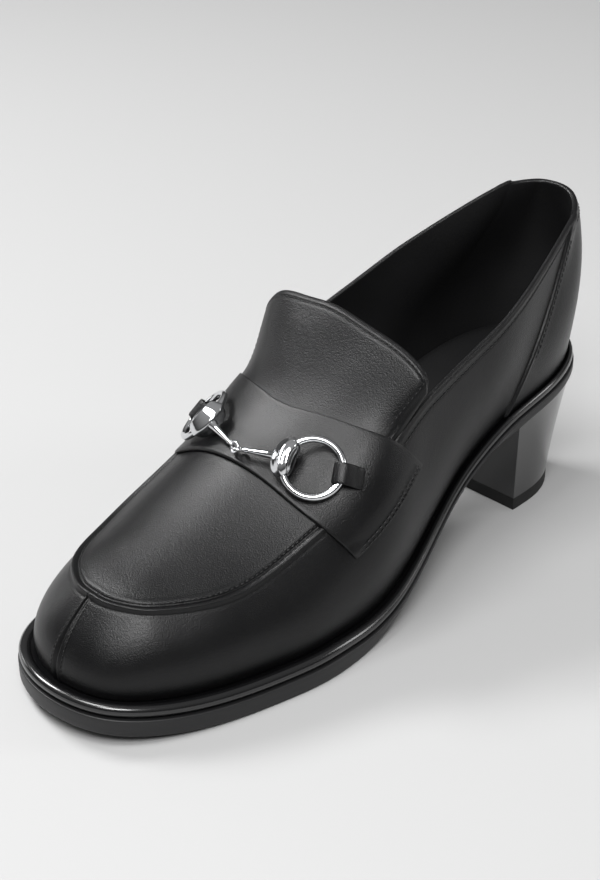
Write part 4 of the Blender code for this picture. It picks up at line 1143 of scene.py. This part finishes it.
def keeper_line(places):
    """Middle line of the keeper's strip, the direction across it and the strip's outward side."""
    wire = np.array(places["wire"])
    slit = np.array(places["slit"])
    under, normal = skin_frame(wire[0], wire[1])
    foot = skin_frame(slit[0], slit[1])[0] - under
    run = np.linalg.norm(foot)
    centre, outward, beside, _ = ring_frame(places)
    ring = circle(centre, outward, beside, RING_RADIUS, np.linspace(0, 2 * np.pi, 180)) - under
    height = ring @ normal
    over = np.argmin(np.linalg.norm(ring - height[:, None] * normal, axis=1))
    lift = height[over]
    arc = 0.5 * KEEPER_WIDTH ** 2 / (4 * RING_RADIUS)
    shift = (ring[over] - height[over] * normal) @ foot / run - 0.5 * arc
    low = GAP + STRAP_WALL + KEEPER_LIFT + 0.5 * KEEPER_WALL
    bow = WIRE + KEEPER_ROOM + 0.5 * KEEPER_WALL
    reach = bow + 0.5 * arc
    # Rows of step, place along the strip and lift: up from the strap, over the wire, down to the slit
    rows = [(0, -reach + 0.2, low), (1, -reach, 0.5 * (low + lift))]
    for step, degrees in enumerate((180, 150, 120, 90)):
        turn = np.radians(degrees)
        rows.append((2 + step, reach * np.cos(turn), lift + bow * np.sin(turn)))
    top = lift + bow
    rows += [(6, 1.2, top - 0.15), (7, 2.4, top - 0.24 * (top - low)), (8, 3.6, top - 0.56 * (top - low))]
    rows += [(9, KEEPER_FOOT - 1.0, low + 0.10 * (top - low)), (10, KEEPER_FOOT, low - 0.45)]
    rows += [(11, KEEPER_FOOT + 0.7, low - 1.0), (12, KEEPER_FOOT + 1.2, low - 1.6)]
    rows = np.array(rows, float)
    line = natural_spline(rows[:, 0], rows[:, 1:])(np.linspace(0, 12, 70))
    middle, normals = [], []
    for along, rise in line:
        here = wire + (slit - wire) * (along + shift) / run
        point, normal = skin_frame(here[0], here[1])
        middle.append(point + normal * rise)
        normals.append(normal)
    middle = np.array(middle)
    across = unit(np.cross(middle[-1] - middle[0], normals[20]))
    return middle, across, normals[-1]


def make_keeper(places):
    """Leather strip over the wire and down into its slit, with a rounded thickness."""
    middle, across, _ = keeper_line(places)
    ahead = unit_rows(np.gradient(middle, axis=0))
    out = unit_rows(np.cross(across, ahead))
    turn = full_turn(28)
    wide = 0.5 * KEEPER_WIDTH * np.sign(np.cos(turn)) * abs(np.cos(turn)) ** 0.35
    tall = 0.5 * KEEPER_WALL * np.sign(np.sin(turn)) * abs(np.sin(turn)) ** 0.6
    sheet = Sheet()
    index = sheet.add(middle[:, None] + across * wide[None, :, None] + out[:, None] * tall[None, :, None])
    sheet.grid(np.column_stack([index, index[:, :1]]))
    sheet.fan(index[0], middle[0])
    sheet.fan(index[-1], middle[-1])
    return sheet


# Stitches: short round threads laid along lines of the skin

# Threads of each seam in mm: lift over the line, pitch, length and radius of a stitch
THREAD_COLUMNS = ("lift", "pitch", "length", "radius")
THREADS = {
    "plug": (0.10, 1.9, 1.35, 0.19),
    "topline": (0.10, 2.0, 1.45, 0.17),
    "back_panel": (0.06, 2.0, 1.45, 0.17),
    "toe": (0.04, 1.6, 1.15, 0.15),
    "strap": (0.08, 2.0, 1.50, 0.20),
    "keeper": (0.10, 1.5, 1.15, 0.17),
    "tongue": (-0.12, 2.0, 1.45, 0.17),
}
# Lines of the seams: the plug's above its edge, the strap's by height over its end and lift, the
# uprights by distance from the back seam or the toe's middle, both ends on the wall, points and lift
PLUG_SEAM_GAP = 1.35
STRAP_SEAMS = (0.012, 0.55), (0.045, 0.85)
UPRIGHT_COLUMNS = ("seam", "from", "gap", "low", "high", "points", "lift")
UPRIGHTS = (
    ("back_panel", BACK_SEAM_AT, 1.7, -0.97, -0.05, 60, BACK_PANEL_STEP),
    ("back_panel", BACK_SEAM_AT, 3.6, -0.97, -0.05, 60, BACK_PANEL_STEP),
    ("toe", 0.0, 2.9, -0.95, -0.12, 50, 0.03),
)
# One stitch: places along it as shares of its length, dip and thickness there in radii
STITCH_COLUMNS = ("share", "dip", "size")
STITCH = (
    (-0.50, -0.80, 0.35),
    (-0.42, -0.15, 0.85),
    (-0.20, 0.35, 1.00),
    (0.20, 0.35, 1.00),
    (0.42, -0.15, 0.85),
    (0.50, -0.80, 0.35),
)


def stitch_line(sheet, points, normals, seam):
    """Adds stitches along a line of points; each is a small capsule that dips at both ends."""
    lift, pitch, length, radius = THREADS[seam]
    share, dip, size = np.array(STITCH).T
    run = run_length(points)
    for middle in np.arange(pitch, run[-1] - pitch * 0.5, pitch):
        at = middle + share * length
        path = np.stack([np.interp(at, run, points[:, k]) for k in range(3)], 1)
        up = unit(np.array([np.interp(middle, run, normals[:, k]) for k in range(3)]))
        path = path + up * (lift + dip * radius)[:, None]
        tube_into(sheet, path, size * radius, up, sides=6)


def skin_line(q, up, lift):
    """Points and normals along the skin."""
    pairs = [skin_frame(a, b) for a, b in zip(q, up)]
    normals = np.array([normal for point, normal in pairs])
    return np.array([point for point, normal in pairs]) + normals * np.ravel(lift)[:, None], normals


def edge_line(q, gap):
    """Heights of a line on the wall (gap below the edge in mm) or on the plug (gap negative)."""
    handles = wall_handles(q) if gap > 0 else plug_handles(q)
    return -gap / on_curves(handles, np.zeros((len(q), 1)))[1]


def sew(sheet, q, up, lift, seam):
    """Adds the stitches of a seam along a line of the skin."""
    points, normals = skin_line(q, up, lift)
    stitch_line(sheet, points, normals, seam)


def make_stitches():
    """All rows of stitches, as one piece."""
    sheet = Sheet()
    seam_end = q_where("edge_at", 0.372)
    q = np.linspace(-seam_end, seam_end, 180)
    q = np.where(q < 0, 2 + q, q)
    q = q[fold(q) * SIDE_RUN > 0.5]
    sew(sheet, q, edge_line(q, -PLUG_SEAM_GAP), -0.02, "plug")
    start = q_where("edge_at", 0.505)
    q = np.linspace(start, 2 - start, 420)
    behind = BACK_PANEL_STEP * smoothstep(0.0, BACK_EDGE, (fold(q) - q_where("at", BACK_SEAM_AT)) * SIDE_RUN)
    sew(sheet, q, edge_line(q, BINDING_WIDTH), behind - 0.1, "topline")
    for seam, start, gap, low, high, count, lift in UPRIGHTS:
        off = q_where("at", start) + gap / SIDE_RUN
        for side in (off, 2 - off):
            sew(sheet, np.full(count, side), np.linspace(low, high, count), lift, seam)
    share = np.linspace(0.0, 1.0, 50)
    for medial in (False, True):
        ends = STRAP_END_MEDIAL if medial else STRAP_END_LATERAL
        for off, lift in STRAP_SEAMS:
            up = ends[0] + off + (ends[1] - ends[0]) * share
            front = smooth_edge("front", up, medial)
            rear = smooth_edge("rear", up, medial)
            q = front + (rear - front) * (0.02 + 0.96 * share)
            sew(sheet, 2 - q if medial else q, up, lift, "strap")
    wide = np.linspace(-1, 1, 24)
    for places in (BIT_LATERAL, BIT_MEDIAL):
        middle, across, normal = keeper_line(places)
        ahead = unit(np.cross(normal, across))
        ahead = ahead * np.sign(ahead @ (middle[-1] - middle[0]))
        line = middle[-1] + normal * 0.55 + across * (wide * 0.72 * KEEPER_WIDTH)[:, None]
        line += ahead * (1.5 - 1.9 * wide ** 2)[:, None]
        stitch_line(sheet, line, np.tile(normal, (24, 1)), "keeper")
    grid = tongue_grid(31, 40)
    rim, up = (
        np.concatenate([part[12:-3, 3], part[-3, 3:-3], part[12:-3, -4][::-1]])
        for part in (grid, grid_normals(grid))
    )
    stitch_line(sheet, rim, up, "tongue")
    return sheet


# Materials

def linear(code):
    """Linear colour from a hex code of sRGB."""
    values = [int(code[k:k + 2], 16) / 255 for k in (0, 2, 4)]
    return tuple(v / 12.92 if v <= 0.04045 else ((v + 0.055) / 1.055) ** 2.4 for v in values) + (1.0,)


def settle(tree, item, **values):
    """Sets a node up: names with in_ are its inputs, set or linked to an output, others its properties."""
    for key, value in values.items():
        if not key.startswith("in_"):
            setattr(item, key, value)
            continue
        name = key[3:]
        entry = item.inputs[int(name) if name.isdigit() else name.replace("_", " ")]
        if isinstance(value, bpy.types.NodeSocket):
            tree.links.new(value, entry)
        else:
            entry.default_value = value
    return item


def node(tree, kind, **values):
    """Adds a node with its settings and links."""
    return settle(tree, tree.nodes.new(kind), **values)


def surface(name, colour, rough, spread=0.06, grain=0.0, grain_size=0.5, fine=0.0,
            coat=0.0, specular=0.5, metallic=0.0, tint=0.25):
    """Procedural finish: colour and gloss that vary softly, a cell grain and a fine pore bump, in mm."""
    material = bpy.data.materials.new(name)
    material.use_nodes = True
    tree = material.node_tree
    place = node(tree, "ShaderNodeTexCoord").outputs["Object"]
    scale = node(tree, "ShaderNodeMapping", vector_type="POINT", in_Scale=(1 / MM,) * 3, in_Vector=place)
    place = scale.outputs[0]

    # Clouds of a few centimetres vary colour and gloss
    noise = node(tree, "ShaderNodeTexNoise", in_Vector=place,
                 in_Scale=0.045, in_Detail=4.0, in_Roughness=0.55)
    cloud = noise.outputs["Fac"]
    dark, light = (
        tuple(min(1.0, v * share) for v in linear(colour)[:3]) + (1.0,) for share in (1 - tint, 1 + tint)
    )
    ramp = node(tree, "ShaderNodeMix", data_type="RGBA", in_0=cloud, in_6=dark, in_7=light)
    gloss = node(tree, "ShaderNodeMapRange", in_0=cloud, in_3=rough - spread, in_4=rough + spread)
    shader = settle(
        tree, tree.nodes["Principled BSDF"], in_Metallic=metallic, in_Specular_IOR_Level=specular,
        in_Coat_Weight=coat, in_Coat_Roughness=0.18,
        in_Base_Color=ramp.outputs[2], in_Roughness=gloss.outputs[0])

    bumps = {}
    if grain:
        warp = node(tree, "ShaderNodeTexNoise", in_Vector=place, in_Scale=0.9, in_Detail=2.0)
        shift = node(tree, "ShaderNodeVectorMath", operation="MULTIPLY_ADD",
                     in_0=warp.outputs["Color"], in_1=(0.5, 0.5, 0.5), in_2=place)
        cells = node(tree, "ShaderNodeTexVoronoi", feature="F1", in_Vector=shift.outputs[0],
                     in_Scale=1 / grain_size, in_Randomness=1.0)
        grains = node(tree, "ShaderNodeBump", invert=True, in_Strength=1.0, in_Distance=grain * MM,
                      in_Height=cells.outputs["Distance"])
        bumps = {"in_Normal": grains.outputs[0]}
    if fine:
        pores = node(tree, "ShaderNodeTexNoise", in_Vector=place,
                     in_Scale=4.4, in_Detail=3.0, in_Roughness=0.7)
        pits = node(tree, "ShaderNodeBump", in_Strength=1.0, in_Distance=fine * MM,
                    in_Height=pores.outputs["Fac"], **bumps)
        bumps = {"in_Normal": pits.outputs[0]}
    settle(tree, shader, **bumps)
    return material


# Colours as hex codes of sRGB, depths and sizes in mm; grain and pores are as coarse as they need
# to be to show
FINISHES = {
    # Finished calf: black with a soft sheen that a fine grain breaks up
    "black_calf": dict(colour="0b0b0c", fine=0.05, coat=0.03, specular=0.30),
    # Lining leather without a finish: flat black, so the shoe's inside stays dark
    "black_lining": dict(colour="0b0b0c", rough=0.62, grain=0.03, grain_size=0.7, fine=0.03, specular=0.3),
    # Moulded rubber: a dull dark grey edge
    "sole_rubber": dict(colour="1b1b1c", rough=0.46, fine=0.03, specular=0.45),
    # Waxed and burnished: a thin line of light along the bead
    "waxed_welt": dict(colour="101011", rough=0.2, fine=0.012, coat=0.5),
    # Lacquered: smooth faces that mirror the floor softly
    "heel_lacquer": dict(colour="141415", rough=0.2, fine=0.01, coat=0.5),
    # Cut rubber: matt
    "tip_rubber": dict(colour="141414", rough=0.6, fine=0.05, specular=0.3),
    # Twisted thread: dull, so that a stitch shows by its shadow
    "black_thread": dict(colour="0c0c0d", rough=0.5, fine=0.05),
    # Polished steel: a bright mirror
    "polished_steel": dict(colour="d9dadc", rough=0.09, spread=0.03, fine=0.002, metallic=1.0, tint=0.03),
}


def finish_of(name):
    """The piece's material, made once; the calf's gloss and grain are the user's settings."""
    made = bpy.data.materials.get(name)
    if made and made.get("done"):
        return made
    values = dict(FINISHES[name])
    if name == "black_calf":
        sizes = bpy.context.scene.bit_loafer
        values.update(rough=sizes.leather_gloss, grain=sizes.grain_depth, grain_size=sizes.grain_size)
    made = surface(name, **values)
    made["done"] = True
    return made


def build(sheet, name, finishes, slot, stands_for=None):
    """Makes a piece: its finishes outside and inside, and the frame's node it replaces; the slot is not used.
    """
    materials = [finish_of(finish) for finish in finishes]
    return sheet.make(name, materials, slot, [stands_for] if stands_for else ())


def sharpened(piece):
    """Keeps a piece's edges sharp where its faces meet at more than 40 degrees."""
    piece.data.set_sharp_from_angle(angle=np.radians(40))


# Operators and panel

class BitLoaferSizes(bpy.types.PropertyGroup):
    """Finishes a user would change."""
    leather_gloss: FloatProperty(
        name="Leather roughness", description="Roughness of the calf leather",
        default=0.33, min=0.0, max=1.0, subtype="FACTOR")
    grain_depth: FloatProperty(
        name="Grain depth", description="Depth of the leather's grain in mm",
        default=0.06, min=0.0, max=0.5)
    grain_size: FloatProperty(
        name="Grain size", description="Size of the leather's grain cells in mm",
        default=0.45, min=0.1, max=3.0)
    floor_colour: FloatVectorProperty(
        name="Floor", description="Colour of the floor",
        subtype="COLOR", size=3, default=(0.43, 0.43, 0.43), min=0.0, max=1.0)


class BuildSole(bpy.types.Operator):
    """Outsole, welt and insole"""
    bl_idname = "bit_loafer.sole"
    bl_label = "Sole"

    def execute(self, context):
        build(make_outsole(), "outsole_detail", ["sole_rubber"], "sole_black", "outsole")
        build(make_welt(), "welt_detail", ["waxed_welt"], "welt_black", "welt")
        build(make_insole(), "insole_detail", ["black_lining"], "insole_leather", "insole")
        return {"FINISHED"}


class BuildHeel(bpy.types.Operator):
    """Heel block and its tip"""
    bl_idname = "bit_loafer.heel"
    bl_label = "Heel"

    def execute(self, context):
        sharpened(build(make_heel(), "heel_detail", ["heel_lacquer"], "heel_black", "heel"))
        sharpened(build(make_heel_tip(), "heel_tip_detail", ["tip_rubber"], "tip_rubber", "heel_tip"))
        return {"FINISHED"}


class BuildUpper(bpy.types.Operator):
    """Upper with its seams and lining"""
    bl_idname = "bit_loafer.upper"
    bl_label = "Upper"

    def execute(self, context):
        build(make_upper(), "upper_detail", ["black_calf", "black_lining"], "upper_calf", "upper")
        return {"FINISHED"}


class BuildTongue(bpy.types.Operator):
    """Tongue and strap"""
    bl_idname = "bit_loafer.tongue"
    bl_label = "Tongue and strap"

    def execute(self, context):
        build(make_tongue(), "tongue_detail", ["black_calf", "black_lining"], "tongue_calf", "tongue")
        build(make_strap(), "strap_detail", ["black_calf", "black_calf"], "strap_calf", "strap")
        return {"FINISHED"}


class BuildBit(bpy.types.Operator):
    """Rings, bars and leather keepers"""
    bl_idname = "bit_loafer.bit"
    bl_label = "Bit"

    def execute(self, context):
        steel = ["polished_steel"]
        for end, places in (("lateral", BIT_LATERAL), ("medial", BIT_MEDIAL)):
            build(make_ring(places), "ring_detail_" + end, steel, "bit_metal", "bit_ring_" + end)
            sharpened(build(make_bar(places), "bar_detail_" + end, steel, "bit_metal", "bit_bar_" + end))
            build(make_keeper(places), "keeper_detail_" + end, ["black_calf"], "keeper_calf", "keeper_" + end)
        return {"FINISHED"}


class BuildStitches(bpy.types.Operator):
    """All the rows of stitches"""
    bl_idname = "bit_loafer.stitches"
    bl_label = "Stitches"

    def execute(self, context):
        build(make_stitches(), "stitches", ["black_thread"], "upper_calf")
        return {"FINISHED"}


# Stage: floor, sky, lights and camera, with places in metres

CAMERA_AZIMUTH = 51.2      # degrees, the photo's angle to the shoe
CAMERA_ELEVATION = 30.45
CAMERA_ROLL = -3.19
CAMERA_PLACE = 376.84, -246.92, 357.04
SENSOR = 36.0
PICTURE = 600, 880         # the photo's frame; the render has 3 pixels for each 2
FILL = 0.94, 0.90          # shares of the picture that the shoe may fill
LOWER = 0.02               # share of the picture's height that the shoe stands lower
FLOOR_HALF = 6.0
SKY_STRENGTH = 0.06, 0.34  # at the horizon and overhead
LIGHT_COLUMNS = ("name", "place", "aim", "wide", "tall", "watts")
LIGHTS = (
    ("key_left", (-0.92, -0.20, 1.05), (0.0, -0.04, 0.05), 0.42, 0.34, 14.0),
    ("left_low", (-1.35, -0.30, 0.30), (0.0, -0.06, 0.05), 0.30, 0.30, 1.0),
    ("overhead", (-0.10, -0.48, 1.40), (0.0, 0.0, 0.05), 0.60, 0.45, 11.5),
    ("front_right", (0.56, -0.62, 1.10), (0.0, -0.05, 0.04), 0.55, 0.42, 13.0),
    ("right_back", (0.85, 0.95, 0.55), (0.0, 0.05, 0.06), 0.3, 0.6, 3.5),
)


def add_floor(scene):
    """Plain matt floor."""
    data = bpy.data.meshes.new("floor")
    corners = [(x * FLOOR_HALF, y * FLOOR_HALF, 0) for x, y in ((-1, -1), (1, -1), (1, 1), (-1, 1))]
    data.from_pydata(corners, [], [(0, 1, 2, 3)])
    floor = bpy.data.objects.new("floor", data)
    scene.collection.objects.link(floor)
    paper = bpy.data.materials.new("floor_paper")
    paper.use_nodes = True
    shader = paper.node_tree.nodes["Principled BSDF"]
    shader.inputs["Base Color"].default_value = tuple(scene.bit_loafer.floor_colour) + (1.0,)
    shader.inputs["Roughness"].default_value = 0.9
    data.materials.append(paper)
    floor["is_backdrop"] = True


def set_sky(scene):
    """White surroundings that grow brighter from the horizon up."""
    scene.world = scene.world or bpy.data.worlds.new("studio")
    scene.world.use_nodes = True
    sky = scene.world.node_tree
    low, high = SKY_STRENGTH
    place = node(sky, "ShaderNodeTexCoord")
    split = node(sky, "ShaderNodeSeparateXYZ", in_0=place.outputs["Generated"])
    rise = node(sky, "ShaderNodeMapRange", interpolation_type="SMOOTHSTEP", in_0=split.outputs["Z"],
                in_1=0.0, in_2=0.9, in_3=low, in_4=high)
    settle(sky, sky.nodes["Background"], in_Color=(1.0, 1.0, 1.0, 1.0), in_Strength=rise.outputs[0])


def add_lights(scene):
    """Area lights, each turned to the point it aims at."""
    for name, place, aim, wide, tall, power in LIGHTS:
        lamp = bpy.data.lights.new(name, "AREA")
        lamp.shape = "RECTANGLE"
        lamp.size, lamp.size_y, lamp.energy = wide, tall, power
        item = bpy.data.objects.new(name, lamp)
        item.location = place
        item.rotation_euler = (Vector(aim) - Vector(place)).to_track_quat("-Z", "Y").to_euler()
        scene.collection.objects.link(item)


def add_camera(scene):
    """Camera at the photo's place and angle, with a frame that holds the whole shoe."""
    a, e, r = np.radians((CAMERA_AZIMUTH, CAMERA_ELEVATION, CAMERA_ROLL))
    back = np.array([np.sin(a) * np.cos(e), -np.cos(a) * np.cos(e), np.sin(e)])
    right = np.array([np.cos(a), np.sin(a), 0.0])
    side = np.cos(r) * right + np.sin(r) * np.cross(back, right)
    axes = np.stack([side, np.cross(back, side), back], 1)
    eye = np.array(CAMERA_PLACE) - (MIDDLE_X, MIDDLE_S, 0.0)
    data = bpy.data.cameras.new("camera")
    camera = bpy.data.objects.new("camera", data)
    scene.collection.objects.link(camera)
    scene.camera = camera
    rows = [(*row, place) for row, place in zip(axes, eye * MM)]
    camera.matrix_world = Matrix(rows + [(0, 0, 0, 1)])
    corners = []
    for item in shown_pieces():
        grid = np.empty(len(item.data.vertices) * 3)
        item.data.vertices.foreach_get("co", grid)
        corners.append(grid.reshape(-1, 3) / MM)
    seen = (np.vstack(corners) - eye) @ axes
    flat = seen[:, :2] / -seen[:, 2:]
    middle = 0.5 * (flat.min(0) + flat.max(0))
    span = flat.max(0) - flat.min(0)
    fit = min(PICTURE[0] * FILL[0] / span[0], PICTURE[1] * FILL[1] / span[1])
    data.sensor_fit = "VERTICAL"
    data.sensor_height = SENSOR
    data.lens = fit * SENSOR / PICTURE[1]
    data.shift_x = middle[0] * fit / PICTURE[1]
    data.shift_y = middle[1] * fit / PICTURE[1] + LOWER
    data.clip_end = 20.0


class BuildStage(bpy.types.Operator):
    """Floor, lights and the camera at the photo's angle"""
    bl_idname = "bit_loafer.stage"
    bl_label = "Stage"

    def execute(self, context):
        scene = context.scene
        add_floor(scene)
        set_sky(scene)
        add_lights(scene)
        add_camera(scene)
        scene.render.engine = "CYCLES"
        scene.render.resolution_x, scene.render.resolution_y = (size * 3 // 2 for size in PICTURE)
        scene.view_settings.view_transform = "Standard"
        return {"FINISHED"}


class BitLoaferPanel(bpy.types.Panel):
    """Lists the sizes and the steps"""
    bl_idname = "VIEW3D_PT_bit_loafer"
    bl_label = "Bit Loafer"
    bl_space_type = "VIEW_3D"
    bl_region_type = "UI"
    bl_category = "Bit Loafer"

    def draw(self, context):
        """Settings first, then a button for each step."""
        sizes = context.scene.bit_loafer
        for name in ("leather_gloss", "grain_depth", "grain_size", "floor_colour"):
            self.layout.prop(sizes, name)
        for step in STEPS:
            self.layout.operator(step.bl_idname)


STEPS = (BuildSole, BuildHeel, BuildUpper, BuildTongue, BuildBit, BuildStitches, BuildStage)
CLASSES = (BitLoaferSizes,) + STEPS + (BitLoaferPanel,)


def register():
    """Adds the settings, the steps and the panel."""
    for item in CLASSES:
        bpy.utils.register_class(item)
    bpy.types.Scene.bit_loafer = PointerProperty(type=BitLoaferSizes)


def unregister():
    """Takes them away again."""
    del bpy.types.Scene.bit_loafer
    for item in reversed(CLASSES):
        bpy.utils.unregister_class(item)


def main():
    """Runs every step."""
    register()
    for step in STEPS:
        group, name = step.bl_idname.split(".")
        getattr(getattr(bpy.ops, group), name)()


if __name__ == "__main__":
    main()
